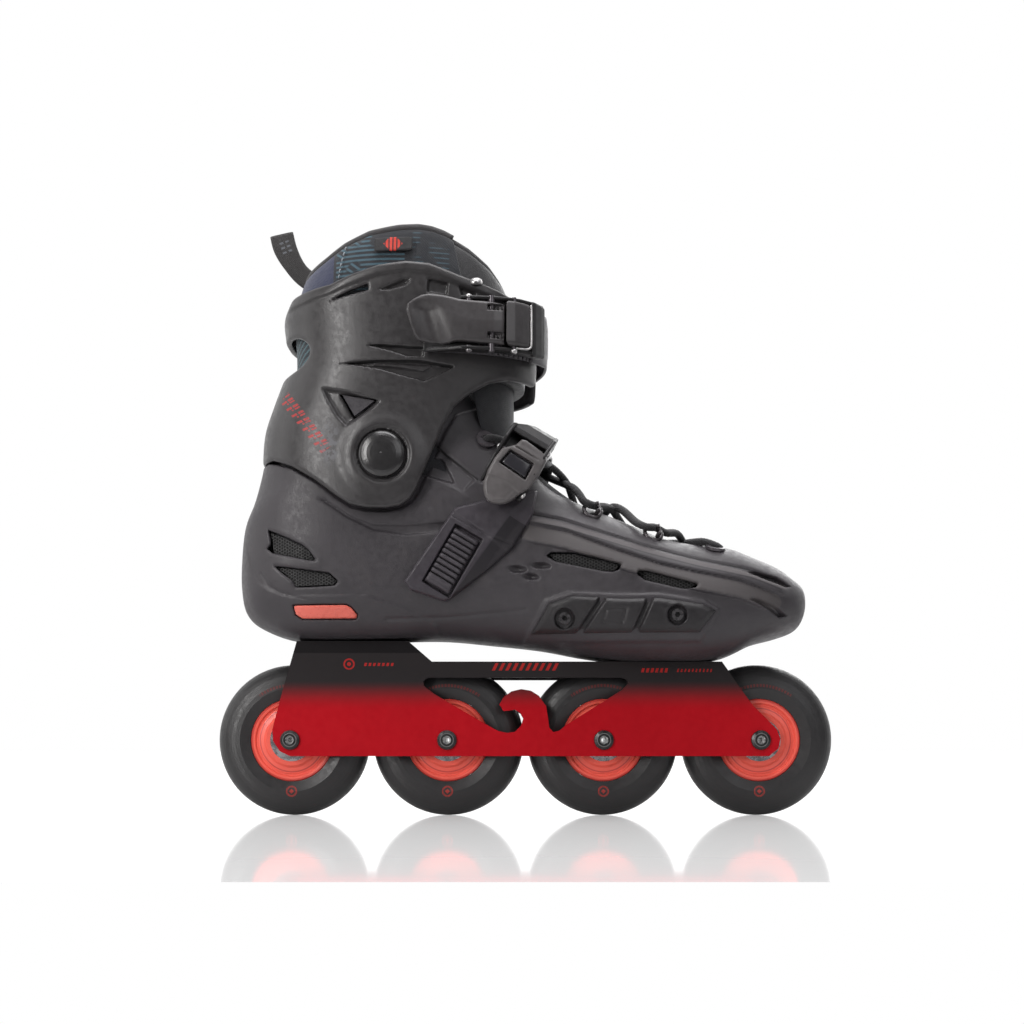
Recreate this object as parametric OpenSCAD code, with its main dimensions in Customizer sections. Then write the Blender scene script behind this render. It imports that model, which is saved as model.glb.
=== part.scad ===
// Inline skate, right foot: moulded boot shell with hinged cuff, liner, two ratchet buckles,
// aluminium frame and four ball-bearing wheels.
// Frame of reference: +X toe, +Z up, -Y lateral (outer) side, origin on the ground
// midway between the second and third wheels. Millimetres.

/* [Wheels] */
// Wheel diameter
wheel_d = 79; // [78.4:0.2:79.4]
// Distance from one axle to the next
wheel_pitch = 81; // [81:0.1:81.4]
// Tyre width
wheel_w = 24; // [23:0.5:24.4]
// Hub radius where the tyre starts
hub_r = 21.5; // [20:0.25:22.5]
// Bearing outer radius (608 size)
bearing_r = 11; // [11:0.1:11.2]
// Number of balls in a bearing
ball_n = 7; // [6:1:7]

/* [Frame] */
// Distance between the frame's side plates, inner faces
frame_gap = 27; // [26.8:0.1:27.4]
// Side plate thickness
plate_t = 3; // [2.6:0.1:3.2]
// Height of the rear mounting platform
rear_z = 90.6; // [90.4:0.1:90.8]
// Height of the front mounting platform
front_z = 80; // [79.9:0.05:80.1]
// Distance between the two mounting bolts
mount_pitch = 165; // [164:0.5:166]

/* [Boot] */
// Wall thickness of the moulded boot shell
shell_t = 3.2; // [2.8:0.1:3.3]
// Thickness of the liner's padding
liner_t = 5; // [4:0.5:6]
// Points round each section of the boot
ring_n = 32; // [24:4:40]

/* [Cuff] */
// Wall thickness of the cuff
cuff_t = 3.1; // [2.8:0.1:3.3]
// Cuff pivot, distance behind the origin
pivot_x = -70.8; // [-71:0.1:-70.6]
// Cuff pivot height
pivot_z = 180.7; // [180.5:0.1:180.9]
// Radius of the pivot bushing
bush_r = 6; // [5.8:0.1:6.2]
// Running clearance between the bushing and the cuff
bush_gap = 0.05; // [0.03:0.01:0.08]

/* [Hidden] */
axle_z = wheel_d / 2;
axle_xs = [for (i = [0:3]) (i - 1.5) * wheel_pitch];
frame_in = frame_gap / 2;
frame_out = frame_in + plate_t;
mount_xs = [-mount_pitch / 2, mount_pitch / 2];
pivot = [pivot_x, pivot_z];

// ---------------------------------------------------------------- helpers
function mix(a, b, t) = a + (b - a) * t;
// Superellipse coordinate from a cosine or sine; 2 is round, more is squarer
function bulge(c, power) = (c < 0 ? -1 : 1) * pow(abs(c), 2 / power);
function rect(x0, y0, x1, y1) = [[x0, y0], [x1, y0], [x1, y1], [x0, y1]];
// Outline out along one line and back along another
function there_and_back(there, back) =
    concat(there, [for (i = [len(back) - 1:-1:0]) back[i]]);
// Outline from one half, [x, distance from the x axis]
function symmetric(half) =
    there_and_back([for (p = half) [p[0], -p[1]]], [for (p = half) if (p[1] > 0) p]);
function centre(pts) = [for (p = pts) 1] * pts / len(pts);
// Outline with each point moved towards the centre by dist
function inset(pts, dist) =
    let (c = centre(pts)) [for (p = pts) p + (c - p) * (dist / norm(c - p))];
// Part of a superellipse centred on [mid_x, 0], between two angles
function strap_arc(mid_x, reach, half_width, power, from, to, steps) =
    [for (i = [0:steps]) let (a = mix(from, to, i / steps))
        [mid_x + reach * bulge(cos(a), power), half_width * bulge(sin(a), power)]];

module both_sides() {
    for (m = [0, 1]) mirror([0, m, 0]) children();
}
// Prism of a side-view outline [x, z] from y0 to y1
module plate(outline, y0, y1) {
    translate([0, y1, 0]) rotate([90, 0, 0]) linear_extrude(y1 - y0) polygon(outline);
}
// The same plate on both sides, between distances near < far from the middle plane
module plate_pair(outline, near, far) {
    plate(outline, -far, -near);
    plate(outline, near, far);
}
// Rod along Y, at = [x, z]
module rod(at, r, y0, y1, n = 48) {
    translate([at[0], y1, at[1]]) rotate([90, 0, 0]) cylinder(r = r, h = y1 - y0, $fn = n);
}
module rod_pair(at, r, near, far, n = 48) {
    rod(at, r, -far, -near, n);
    rod(at, r, near, far, n);
}
// Post along Z, at = [x, y]
module post(at, r, z, h) {
    translate([at[0], at[1], z]) cylinder(r = r, h = h, $fn = 32);
}
// Revolve a profile [radius, y] round the Y axis
module turned(profile) {
    rotate([-90, 0, 0]) rotate_extrude($fn = 96) polygon(profile);
}
// Upright walls on both sides, through plan points [x, distance from the middle plane]
module plan_band(line, thickness, z0, z1) {
    for (m = [-1, 1]) translate([0, 0, z0]) linear_extrude(z1 - z0)
        polygon(there_and_back([for (p = line) [p[0], m * p[1]]],
            [for (p = line) [p[0], m * (p[1] + thickness)]]));
}

// Triangles joining two rings of n points that start at a and b
function ring_faces(a, b, n, flip = false) =
    [for (j = [0:n - 1]) let (k = (j + 1) % n)
        each flip ? [[a + j, b + k, b + j], [a + j, a + k, b + k]]
                  : [[a + j, b + j, b + k], [a + j, b + k, a + k]]];
// Wall between an outer and an inner stack of rings, open at the last ring.
// The first rings are capped when closed, and otherwise joined by a rim.
module wall(outer, inner, closed = true) {
    n = len(outer[0]);
    outer_last = (len(outer) - 1) * n;
    inner_first = len(outer) * n;
    inner_last = inner_first + (len(inner) - 1) * n;
    faces = [
        for (a = [0:n:outer_last - n]) each ring_faces(a, a + n, n),
        for (a = [inner_first:n:inner_last - n]) each ring_faces(a, a + n, n, flip = true),
        each ring_faces(outer_last, inner_last, n),
        if (!closed) each ring_faces(0, inner_first, n, flip = true),
        if (closed) [for (j = [0:n - 1]) j],
        if (closed) [for (j = [n - 1:-1:0]) inner_first + j]];
    polyhedron(points = [for (r = outer) each r, for (r = inner) each r],
        faces = faces, convexity = 8);
}

// ---------------------------------------------------------------- boot sections
// Each section runs from an outer point (toe, sole, heel) to the instep edge:
// outer x, z; edge x, z; half width of the lacing gap at that edge; half width;
// roundness of the outer and of the instep side; sole thickness; liner offset at the sole.
BOOT = [
    [144.8, 108.0, 144.8, 114.0,  0,  8.0, 2.0, 2.0, 3.2,  4.2],
    [143.8, 101.5, 143.2, 119.5,  0, 21.0, 2.2, 2.2, 3.2,  4.2],
    [140.0,  96.0, 138.5, 123.5,  0, 30.0, 2.3, 2.2, 3.2,  4.4],
    [131.0,  92.5, 129.5, 129.6,  0, 37.5, 2.5, 2.2, 3.4,  5.0],
    [118.0,  89.0, 118.0, 134.6,  0, 42.5, 2.8, 2.2, 4.0,  6.0],
    [104.0,  82.5, 106.0, 139.3,  0, 46.0, 3.0, 2.2, 6.5,  8.6],
    [ 90.0,  80.2,  92.5, 141.0,  0, 48.3, 3.2, 2.2, 7.2,  9.2],
    [ 70.0,  80.2,  73.5, 142.4, 18, 49.3, 3.2, 2.2, 7.2,  9.2],
    [ 50.0,  80.2,  51.0, 151.0, 20, 48.8, 3.2, 2.2, 7.2,  9.2],
    [ 30.0,  82.6,  29.0, 159.6, 22, 46.8, 3.0, 2.2, 7.2,  9.4],
    [  8.0,  86.6,  12.6, 167.0, 24, 44.2, 3.0, 2.3, 7.2, 10.0],
    [-18.0,  89.4,  -2.0, 183.0, 24, 42.4, 3.0, 2.5, 7.2, 10.6],
    [-45.0,  91.6, -12.0, 193.0, 24, 41.4, 3.0, 2.7, 7.4, 11.6],
    [-84.0,  90.8, -18.0, 199.0, 24, 41.0, 3.0, 3.0, 7.6, 12.4],
    [-117.0, 90.9, -20.0, 203.0, 24, 40.6, 2.8, 3.1, 7.6, 12.2],
    [-136.0, 96.6, -21.5, 206.0, 24, 40.4, 2.6, 3.2, 6.0, 10.0],
    [-145.6,104.6, -22.5, 208.4, 24, 40.4, 2.4, 3.2, 4.0,  6.0],
    [-148.6,118.0, -23.6, 210.6, 24, 40.4, 2.3, 3.2, 3.4,  4.4],
    [-148.4,134.5, -24.8, 213.0, 24, 40.4, 2.3, 3.2, 3.4,  4.4],
    [-146.6,149.5, -26.0, 215.2, 24, 40.4, 2.3, 3.2, 3.4,  5.0],
    [-142.2,161.0, -27.6, 217.2, 24, 40.4, 2.2, 3.2, 3.4,  7.4],
    [-139.0,172.0, -29.4, 219.2, 24, 39.8, 1.96, 3.2, 3.4,  9.6],
    [-137.2,179.7, -31.0, 221.0, 24, 39.6, 1.88, 3.2, 3.4, 10.2],
    [-131.4,180.6, -31.4, 221.4, 24, 39.6, 1.98, 3.2, 3.4,  5.2],
    [-129.4,194.0, -33.4, 223.4, 24, 39.6, 2.1, 3.2, 3.4,  5.4]];
last_section = len(BOOT) - 1;
// In the first sections, how far back an inward offset moves the ring (share of the offset)
// and how much of the offset shrinks it
TOE_SHIFT = [1, 0.9, 0.6, 0.3];
TOE_SHARE = [0, 0.45, 0.8, 0.95];
function toe_shift(i) = i < len(TOE_SHIFT) ? TOE_SHIFT[i] : 0;
function toe_share(i) = i < len(TOE_SHARE) ? TOE_SHARE[i] : 1;
function sole_t(i) = BOOT[i][8];
function liner_in(i) = BOOT[i][9];

// Points of section i, moved in by sole_in at the outer point
// and by side_in at the instep and the sides
function boot_ring(i, sole_in = 0, side_in = 0) =
    let (s = BOOT[i], outer = [s[0], s[1]], edge = [s[2], s[3]],
        half_gap = s[4], half_width = s[5], outer_power = s[6], instep_power = s[7],
        // the full section rises past the edge, so that it is as wide as the gap there
        stretch = 2 / (1 + pow(1 - pow(half_gap / half_width, instep_power), 1 / instep_power)),
        top = outer + (edge - outer) * stretch,
        dir = (top - outer) / norm(top - outer),
        share = toe_share(i),
        low = outer + dir * sole_in * share,
        high = top - dir * side_in * share,
        mid = (low + high) / 2,
        half_height = norm(high - low) / 2,
        width = half_width - side_in * share,
        shift = -side_in * toe_shift(i))
    [for (j = [0:ring_n - 1])
        let (a = 360 * j / ring_n,
            power = sin(a) < 0 ? outer_power : instep_power,
            along = half_height * bulge(sin(a), power))
        [mid[0] + dir[0] * along + shift, width * bulge(cos(a), power), mid[1] + dir[1] * along]];

// The outside of the shell, and its inside
SHELL_OUT = [for (i = [0:last_section]) boot_ring(i)];
SHELL_IN = [for (i = [1:last_section])
    boot_ring(i, i > 18 ? liner_in(i) - 1 : min(liner_in(i) - 1, sole_t(i)), shell_t)];

// Point on the shell's outside at a fractional section and an angle round it
function boot_point(section, angle) =
    let (i = floor(section), j = angle / 360 * ring_n, m = floor(j), u = j - m,
        ring = SHELL_OUT[i], next = SHELL_OUT[i + 1],
        a = m % ring_n, b = (m + 1) % ring_n)
    mix(mix(ring[a], ring[b], u), mix(next[a], next[b], u), section - i);
// Unit normal there, of either sign
function boot_normal(section, angle) =
    let (x = cross(boot_point(section, angle + 3) - boot_point(section, angle - 3),
        boot_point(section + 0.2, angle) - boot_point(section - 0.2, angle)))
    x / norm(x);
// Stand children on the shell's outside, +Z outwards
module on_boot(section, angle, lift) {
    p = boot_point(section, angle);
    normal = boot_normal(section, angle);
    out = normal * (normal * (p - [p[0], 0, 120]) < 0 ? -1 : 1);
    translate(p + out * lift)
        rotate([0, acos(out[2]), atan2(out[1], out[0])])
        children();
}

// ---------------------------------------------------------------- cuff and leg sections
// Cuff: height, back x, front x, half width
CUFF = [
    [146, -130.0, -2.0, 47.0], [158, -134.0, 0.0, 47.2], [170, -136.4, 1.0, 47.4],
    [184, -137.0, 2.0, 47.6], [198, -135.8, 4.0, 47.8], [211, -131.6, 6.0, 48.2],
    [222, -127.4, 7.5, 48.8], [230, -124.4, 8.0, 49.4], [245, -124.8, 8.0, 50.2],
    [256, -125.6, 8.0, 50.8], [266, -121.8, 7.0, 51.0], [281, -117.0, 3.0, 51.0]];
// Liner round the leg, same columns
LEG = [
    [186, -131.8, -2.0, 43.2], [200, -130.8, -1.0, 43.4], [211, -127.2, 0.0, 44.0],
    [222, -123.2, 1.6, 44.6], [230, -120.4, 2.0, 45.2], [245, -120.8, 1.6, 46.2],
    [256, -121.4, -1.0, 46.8], [266, -119.4, -4.0, 46.6], [276, -116.4, -8.0, 45.6],
    [286, -112.0, -12.0, 43.8], [298, -106.0, -17.0, 41.0]];
oval_n = ring_n + 8;
// Level rings of such a table, moved in by offset
function oval_rings(table, offset, power) =
    [for (s = table)
        let (back = s[1] + offset, front = s[2] - offset, half_width = s[3] - offset)
        [for (j = [0:oval_n - 1]) let (a = 360 * j / oval_n)
            [(back + front) / 2 + (front - back) / 2 * bulge(cos(a), power),
                half_width * bulge(sin(a), power), s[0]]]];
function cuff_rings(offset) = oval_rings(CUFF, offset, 2.5);
function leg_rings(offset) = oval_rings(LEG, offset, 2.4);

// ---------------------------------------------------------------- wheels
tyre_gap = 0.05;
// Distances of a bearing's two faces from the wheel's middle plane
bearing_near = 5.1;
bearing_far = 12.1;
bearing_mid = (bearing_near + bearing_far) / 2;
ball_track_r = 7.5;
axle_bolt_r = 4.0;

module at_axle(x) {
    translate([x, 0, axle_z]) children();
}
module tyre(x) {
    inner = hub_r + tyre_gap;
    at_axle(x) color([0.09, 0.09, 0.10]) turned(concat(
        [[inner, -10.2], [inner, 10.2]],
        [for (a = [80:-8:-80]) [mix(inner + 1.5, wheel_d / 2, pow(abs(cos(a)), 2 / 2.35)),
            wheel_w / 2 * bulge(sin(a), 2.35)]]));
}
module hub(x) {
    seat_r = bearing_r + 0.02;
    at_axle(x) color([0.9, 0.33, 0.29]) turned(symmetric([
        [9.2, 5.0], [seat_r, 5.0], [seat_r, 11.8], [seat_r + 2.2, 11.8], [seat_r + 3.4, 10.4],
        [17.2, 9.4], [17.8, 8.9], [18.6, 8.9], [19.2, 9.9], [hub_r - 0.6, 10.2], [hub_r, 9.6]]));
}
// Place children at the bearing on one side (side = -1 or 1), its axis along Z
module in_bearing(side) {
    translate([0, side * bearing_mid, 0]) rotate([90, 0, 0]) children();
}
// Ring of round section along the balls' track
module track_ring(r, n) {
    rotate_extrude($fn = 64) translate([ball_track_r, 0]) circle(r = r, $fn = n);
}
module ball_groove(side) {
    in_bearing(side) track_ring(2.04, 32);
}
module bearing_outer_races(x) {
    at_axle(x) color([0.72, 0.73, 0.75])
        for (m = [-1, 1]) difference() {
            union() {
                turned(rect(8.9, m * bearing_near, bearing_r, m * bearing_far));
                // thin shields
                turned(rect(6.55, m * 11.5, 9, m * 11.9));
                turned(rect(6.55, m * 5.3, 9, m * 5.7));
            }
            ball_groove(m);
        }
}
// Balls joined by a thin ring
module ball_cages(x) {
    at_axle(x) color([0.75, 0.76, 0.78])
        for (m = [-1, 1]) in_bearing(m) {
            track_ring(0.5, 16);
            for (i = [0:ball_n - 1])
                rotate([0, 0, i * 360 / ball_n])
                translate([ball_track_r, 0, 0])
                sphere(r = 1.98, $fn = 24);
        }
}
module bearing_inner_races() {
    for (x = axle_xs) at_axle(x) color([0.7, 0.71, 0.73])
        for (m = [-1, 1]) difference() {
            turned(rect(axle_bolt_r + 0.04, m * bearing_near, 6.2, m * bearing_far));
            ball_groove(m);
        }
}
module bearing_spacers() {
    color([0.6, 0.61, 0.63]) for (x = axle_xs) difference() {
        rod([x, axle_z], 5.2, -5.04, 5.04);
        rod([x, axle_z], axle_bolt_r + 0.06, -6.04, 6.04);
    }
}
// Hollow bolts with a domed head and a hex socket at each end
module axle_bolts() {
    f = frame_out;
    color([0.1, 0.1, 0.11]) for (x = axle_xs) at_axle(x) difference() {
        union() {
            turned([[0, -f], [0, -f - 1.7], [3.6, -f - 1.7], [4.9, -f - 1], [5.1, -f - 0.05],
                [axle_bolt_r, -f]]);
            rod([0, 0], axle_bolt_r, -f - 0.1, f + 0.4);
            turned([[0, f + 0.05], [0, f + 1.6], [3.6, f + 1.6], [4.9, f + 0.9], [5.1, f + 0.05]]);
        }
        rod([0, 0], 1.25, -20, 20);
        rod_pair([0, 0], 2.31, f - 1.1, f + 2.9, 6);
    }
}

// ---------------------------------------------------------------- frame
FRAME_SIDE = [[-118, rear_z], [-60.6, rear_z], [-48.4, front_z], [101.4, front_z],
    [104.4, 75.8], [112.5, 64], [117.4, 57.4], [124.9, 50], [129.8, 45], [131.5, 40.1],
    [130.6, 35.2], [125.7, 31.2], [-121.5, 31.2], [-126.8, 33.8], [-130.2, 39], [-130.6, 44.8],
    [-126.5, 60.7], [-119.3, 86]];
// Window in the side plates, with a rounded hump between two sloping sills
WINDOW = concat(
    [[-52.6, 69.8], [-51, 71.4], [-48.7, 71.7], [49.8, 71.7], [52.4, 70.5], [52.8, 68.6]],
    [for (i = [0:6]) mix([50.2, 65.6], [20.6, 47.0], i / 6)],
    [[17.4, 44.3], [14.4, 43.6], [12.3, 46], [11.8, 50], [10.7, 57.1]],
    [for (a = [20:24:164]) [-1.8 + 12.2 * cos(a), 54.6 + 11.2 * sin(a)]],
    [[-12.9, 57.1], [-11.4, 54.4], [-9.4, 54.6], [-5.5, 55.2], [-2.7, 53.6], [-1.1, 50.8],
        [-2.3, 46.9], [-5.5, 43.7], [-9.4, 43.2], [-14.1, 44.2]],
    [for (i = [0:5]) mix([-20.5, 47.7], [-47.3, 63.4], i / 5)],
    [[-52.3, 67.4]]);

// Level plate across the frame, let 1 mm into the side plates
module cross_plate(x, length, z, thickness) {
    translate([x, -frame_in - 1, z]) cube([length, frame_gap + 2, thickness]);
}
module frame() {
    color([0.62, 0.07, 0.12]) difference() {
        union() {
            plate_pair(FRAME_SIDE, frame_in, frame_out);
            cross_plate(-118, 57.4, rear_z - 4.4, 4.4);
            cross_plate(58.6, 42.4, front_z - 4.4, 4.4);
            cross_plate(-16, 32, front_z - 6, 3);
            // bosses that meet the bearings
            for (x = axle_xs) rod_pair([x, axle_z], 6.4, bearing_far + 0.05, frame_in + 0.5);
        }
        plate_pair(WINDOW, frame_in - 1, frame_out + 1);
        for (x = axle_xs) rod([x, axle_z], axle_bolt_r + 0.1, -20, 20);
        for (x = mount_xs) translate([x, 0, 60]) cylinder(r = 4.2, h = 40, $fn = 48);
    }
}
// Place children on both mounting platforms
module at_mounts() {
    for (x = mount_xs) translate([x, 0, x < 0 ? rear_z : front_z]) children();
}
module mounting_bolts() {
    color([0.25, 0.25, 0.27]) at_mounts() difference() {
        union() {
            cylinder(r = 3.95, h = 6.6, $fn = 48);
            translate([0, 0, -6]) cylinder(r = 3.95, h = 7, $fn = 48);
            translate([0, 0, -10.2]) cylinder(r = 6.6, h = 4.3, $fn = 48);
        }
        translate([0, 0, -11]) cylinder(r = 2.9, h = 4, $fn = 6);
    }
}
module mounting_washers() {
    color([0.6, 0.6, 0.62]) at_mounts() translate([0, 0, -5.85]) difference() {
        cylinder(r = 8, h = 1.4, $fn = 48);
        translate([0, 0, -1]) cylinder(r = 4.1, h = 4, $fn = 48);
    }
}
module sole_inserts() {
    color([0.55, 0.55, 0.57]) at_mounts() difference() {
        union() {
            translate([0, 0, 0.2]) cylinder(r = 6.2, h = 7.8, $fn = 48);
            translate([0, 0, 7.7]) cylinder(r = 9.5, h = 1.0, $fn = 48);
        }
        translate([0, 0, -1]) cylinder(r = 4.0, h = 12, $fn = 48);
    }
}

// ---------------------------------------------------------------- boot shell
// Side-view outlines of the vents: two at the forefoot, two at the heel
VENTS = [
    [[11.5, 132.2], [24.5, 132.0], [46.8, 126.2], [44.6, 123.4], [38.3, 123.2], [15.1, 128.2]],
    [[55.3, 122.9], [60, 122.9], [84.6, 116.6], [81.6, 114.6], [76.5, 114.5], [59.2, 118.4]],
    [[-129.6, 145], [-112.2, 137.5], [-109, 134.9], [-105.8, 129.9], [-109, 129.9],
        [-127.6, 134.3]],
    [[-126, 127], [-98.3, 123.1], [-94.6, 119.3], [-96.2, 117.5], [-115.6, 116.7], [-121, 122.8]]];
// Plan line of the mesh behind each vent: x, distance from the middle plane
MESH_LINES = [
    [[5, 40.3], [50, 45.2]],
    [[50, 45.3], [90, 45.6]],
    [[-132, 27.5], [-112, 33.9], [-104, 35]],
    [[-128, 29.2], [-115, 33.3], [-98, 35], [-92, 35]]];
REFLECTOR = [[-117, 107.4], [-90, 107.4], [-87.4, 106.2], [-84.8, 102.4], [-85.8, 101],
    [-113, 101], [-116, 103]];
// Lacing points: section, angle from the middle of the instep
EYELETS = [[12.75, 43.5], [5.7, 32]];
HOOKS = [[8.8, 35], [7.4, 30.5]];
// Lacing gap in the shell, the liner and the tongue: x, half width
SHELL_GAP = [[-80, 23], [8, 22.5], [40, 18.5], [72, 13.5], [84, 9], [87, 0]];
LINER_GAP = [[-80, 20.5], [8, 20.5], [40, 16.5], [72, 12.5], [82, 8], [84, 0]];
TONGUE_PLAN = [[-80, 19.5], [8, 19.5], [40, 15.5], [72, 10.5], [84, 6]];

// Upright block over a symmetric plan outline
module plan_block(half, z = 118) {
    translate([0, 0, z]) linear_extrude(160) polygon(symmetric(half));
}
module at_lacing(points, lift = 0) {
    both_sides() for (p = points) on_boot(p[0], 90 + p[1], lift) children();
}
// Tilted slab along each side of the heel, from depth y0 to y1 out from its surface
module heel_slab(y0, y1) {
    both_sides() translate([-103.5, 31.35, 104.2]) rotate([-26.6, 0, 7.8])
        translate([-40, y0, -20]) cube([80, y1 - y0, 40]);
}
module boot_shell() {
    color([0.2, 0.19, 0.21]) difference() {
        wall(SHELL_OUT, SHELL_IN);
        plan_block(SHELL_GAP, 128);
        for (x = mount_xs) translate([x, 0, 70]) cylinder(r = 6.3, h = 32, $fn = 48);
        for (v = VENTS) plate_pair(v, 24, 70);
        intersection() {
            heel_slab(-1, 8);
            plate_pair(REFLECTOR, 15, 60);
        }
        rod(pivot, 4.6, -60, 60);
        at_lacing(EYELETS) translate([0, 0, -8]) cylinder(r = 3.1, h = 16, $fn = 24);
        at_lacing(HOOKS) translate([0, 0, -8]) cylinder(r = 1.7, h = 16, $fn = 24);
    }
}
module vent_mesh() {
    color([0.1, 0.1, 0.1]) for (i = [0:len(VENTS) - 1]) intersection() {
        plan_band(MESH_LINES[i], 0.5, 100, 160);
        plate_pair(inset(VENTS[i], 0.35), 20, 70);
    }
}
module heel_reflectors() {
    color([0.92, 0.42, 0.38]) intersection() {
        heel_slab(-0.9, 0.35);
        plate_pair(inset(REFLECTOR, 0.12), 15, 60);
    }
}

// Inner face of the side sliders in plan: x, distance from the middle plane
SLIDER_PLAN = [[0, 38.6], [3, 40.2], [11.6, 43.0], [24, 45.9], [34, 47.4], [46.5, 48.7],
    [58, 49.5], [70, 49.7], [80, 49.4], [88, 48.9], [94, 48.2]];
SLIDER_SIDE = [[3, 93], [11.6, 107.4], [22.4, 110.8], [46.5, 109.4], [65.7, 109.6],
    [87.4, 106.4], [93.2, 103.4], [85.6, 93]];
// x, z, distance of the screw's outer face from the middle plane
SLIDER_SCREWS = [[19.4, 99.6, 48.4], [74.6, 101, 52.9]];

module side_sliders() {
    color([0.13, 0.13, 0.14]) difference() {
        intersection() {
            plan_band(SLIDER_PLAN, 2.9, 80, 120);
            plate_pair(SLIDER_SIDE, 30, 70);
        }
        for (p = SLIDER_SCREWS) rod_pair(p, 3.0, 20, 80);
    }
}
module slider_screws() {
    color([0.12, 0.12, 0.12]) both_sides() for (p = SLIDER_SCREWS)
        translate([p[0], -p[2], p[1]]) rotate([-90, 0, 0]) difference() {
            cylinder(r = 2.9, h = 2.6, $fn = 32);
            translate([0, 0, -1]) cylinder(r = 1.4, h = 2, $fn = 6);
        }
}
module heel_shock_pad() {
    color([0.15, 0.15, 0.16]) difference() {
        translate([-112, -11.4, rear_z + 8]) cube([49, 22.8, 1.4]);
        // room for the flange of the rear sole insert
        translate([mount_xs[0], 0, rear_z]) cylinder(r = 9.9, h = 20, $fn = 48);
    }
}

// ---------------------------------------------------------------- lacing
module lace_eyelets() {
    color([0.12, 0.12, 0.13]) at_lacing(EYELETS, 0.35) difference() {
        union() {
            cylinder(r = 5.0, h = 1.4, $fn = 40);
            translate([0, 0, -3.4]) cylinder(r = 3.0, h = 4.2, $fn = 40);
        }
        translate([0, 0, -6]) cylinder(r = 2.3, h = 12, $fn = 40);
    }
}
module lace_hooks() {
    color([0.12, 0.12, 0.13]) at_lacing(HOOKS, 0.35) {
        translate([0, 0, -3.3]) cylinder(r = 1.6, h = 4.3, $fn = 24);
        difference() {
            cylinder(r = 4.8, h = 3.4, $fn = 40);
            translate([0, 0, -1]) cylinder(r = 2.4, h = 6, $fn = 40);
        }
        cylinder(r = 2.6, h = 0.8, $fn = 24);
    }
}
// Passes of lace across the tongue: x, height at the ends, rise in the middle
LACE_PASSES = [[86, 144.6, 3.4], [64, 152.0, 4.0], [34, 166.4, 4.4], [22, 172.6, 4.8]];
lace_w = 3.2;
lace_t = 2.6;
lace_reach = 20;

module lace_pass(x, z, rise) {
    function arc(offset) = [for (i = [-6:6]) let (t = i / 6)
        [t * lace_reach, z + rise * (1 - t * t) + offset]];
    translate([x - lace_w / 2, 0, 0]) rotate([90, 0, 90]) linear_extrude(lace_w)
        polygon(there_and_back(arc(lace_t / 2), arc(-lace_t / 2)));
}
module lace() {
    color([0.08, 0.08, 0.09]) for (p = LACE_PASSES) lace_pass(p[0], p[1], p[2]);
}

// ---------------------------------------------------------------- liner and tongue
// Top rim of the liner in side view, closed well below it
RIM = [[-160, 274], [-120, 276], [-108, 279], [-101, 282], [-91, 287.6], [-78, 292.8],
    [-63, 295.4], [-53, 296], [-46.5, 294.6], [-40.4, 293], [-28, 288], [-18, 281.8],
    [-12.6, 275.8], [-8, 266], [40, 250], [40, 100], [-160, 100]];
// Crown of the lower tongue in side view
TONGUE = [[80, 138.6], [66, 145.8], [50, 153.6], [34, 161], [20, 169.6], [10, 178.6],
    [3.2, 185.8], [-1.9, 189.0]];
// Radius round the pivot of the joint between lower and upper liner
split_r = 61;

// Point far from the pivot at an angle up from the front
function ray(a) = pivot + 260 * [cos(a), sin(a)];
module lower_half() {
    rod(pivot, split_r, -70, 70, 96);
    plate([[-220, pivot_z], pivot, ray(12), [220, 100], [220, 20], [-220, 20]], -70, 70);
}
module upper_half() {
    joint_z = pivot_z + 0.8;
    difference() {
        plate([[-220, joint_z], [pivot_x, joint_z], ray(31), [220, 400], [-220, 400]], -70, 70);
        rod(pivot, split_r + 0.6, -71, 71, 96);
    }
}
module liner_lower() {
    color([0.12, 0.13, 0.16]) difference() {
        intersection() {
            wall([for (i = [1:last_section])
                    boot_ring(i, liner_in(i) + (i > 20 ? 0.9 : 0), shell_t + 1.4)],
                [for (i = [1:last_section])
                    boot_ring(i, liner_in(i) + liner_t, shell_t + 1 + liner_t)]);
            lower_half();
        }
        plan_block(LINER_GAP);
        // room for the pivot nuts
        rod_pair(pivot, 9.6, 33.6, 60);
    }
}
// Padding round the leg between two offsets and from x0 on, for a length
module leg_padding(outer, inner, x0, length) {
    intersection() {
        wall(leg_rings(outer), leg_rings(inner), false);
        upper_half();
        plate(RIM, -70, 70);
        translate([x0, -70, 150]) cube([length, 140, 200]);
    }
}
module liner_upper() {
    color([0.12, 0.13, 0.16]) leg_padding(0.7, 0.7 + liner_t, -200, 164);
}
module tongue_upper() {
    color([0.1, 0.1, 0.11]) leg_padding(1.5, 6.5, -35.4, 100);
}
module tongue_lower() {
    color([0.1, 0.1, 0.11]) intersection() {
        plate(there_and_back(TONGUE, [for (p = TONGUE) p - 6 * [0.5, 0.86]]), -20, 20);
        plan_block(TONGUE_PLAN);
    }
}
module footbed() {
    heel_r = 18;
    ball_r = 25;
    color([0.2, 0.2, 0.22]) intersection() {
        plate([[-112, 113.4], [-60, 112.8], [-20, 110], [10, 105.6], [35, 99.8], [100, 98.8],
            [100, 101.8], [35, 102.8], [10, 108.6], [-20, 113], [-60, 115.8], [-112, 116.4]],
            -34, 34);
        translate([0, 0, 80]) linear_extrude(60) union() {
            translate([-80, 0]) circle(r = heel_r, $fn = 64);
            polygon([[-80, -heel_r], [60, -ball_r], [60, ball_r], [-80, heel_r]]);
            translate([60, 0]) circle(r = ball_r, $fn = 64);
        }
    }
}
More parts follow.
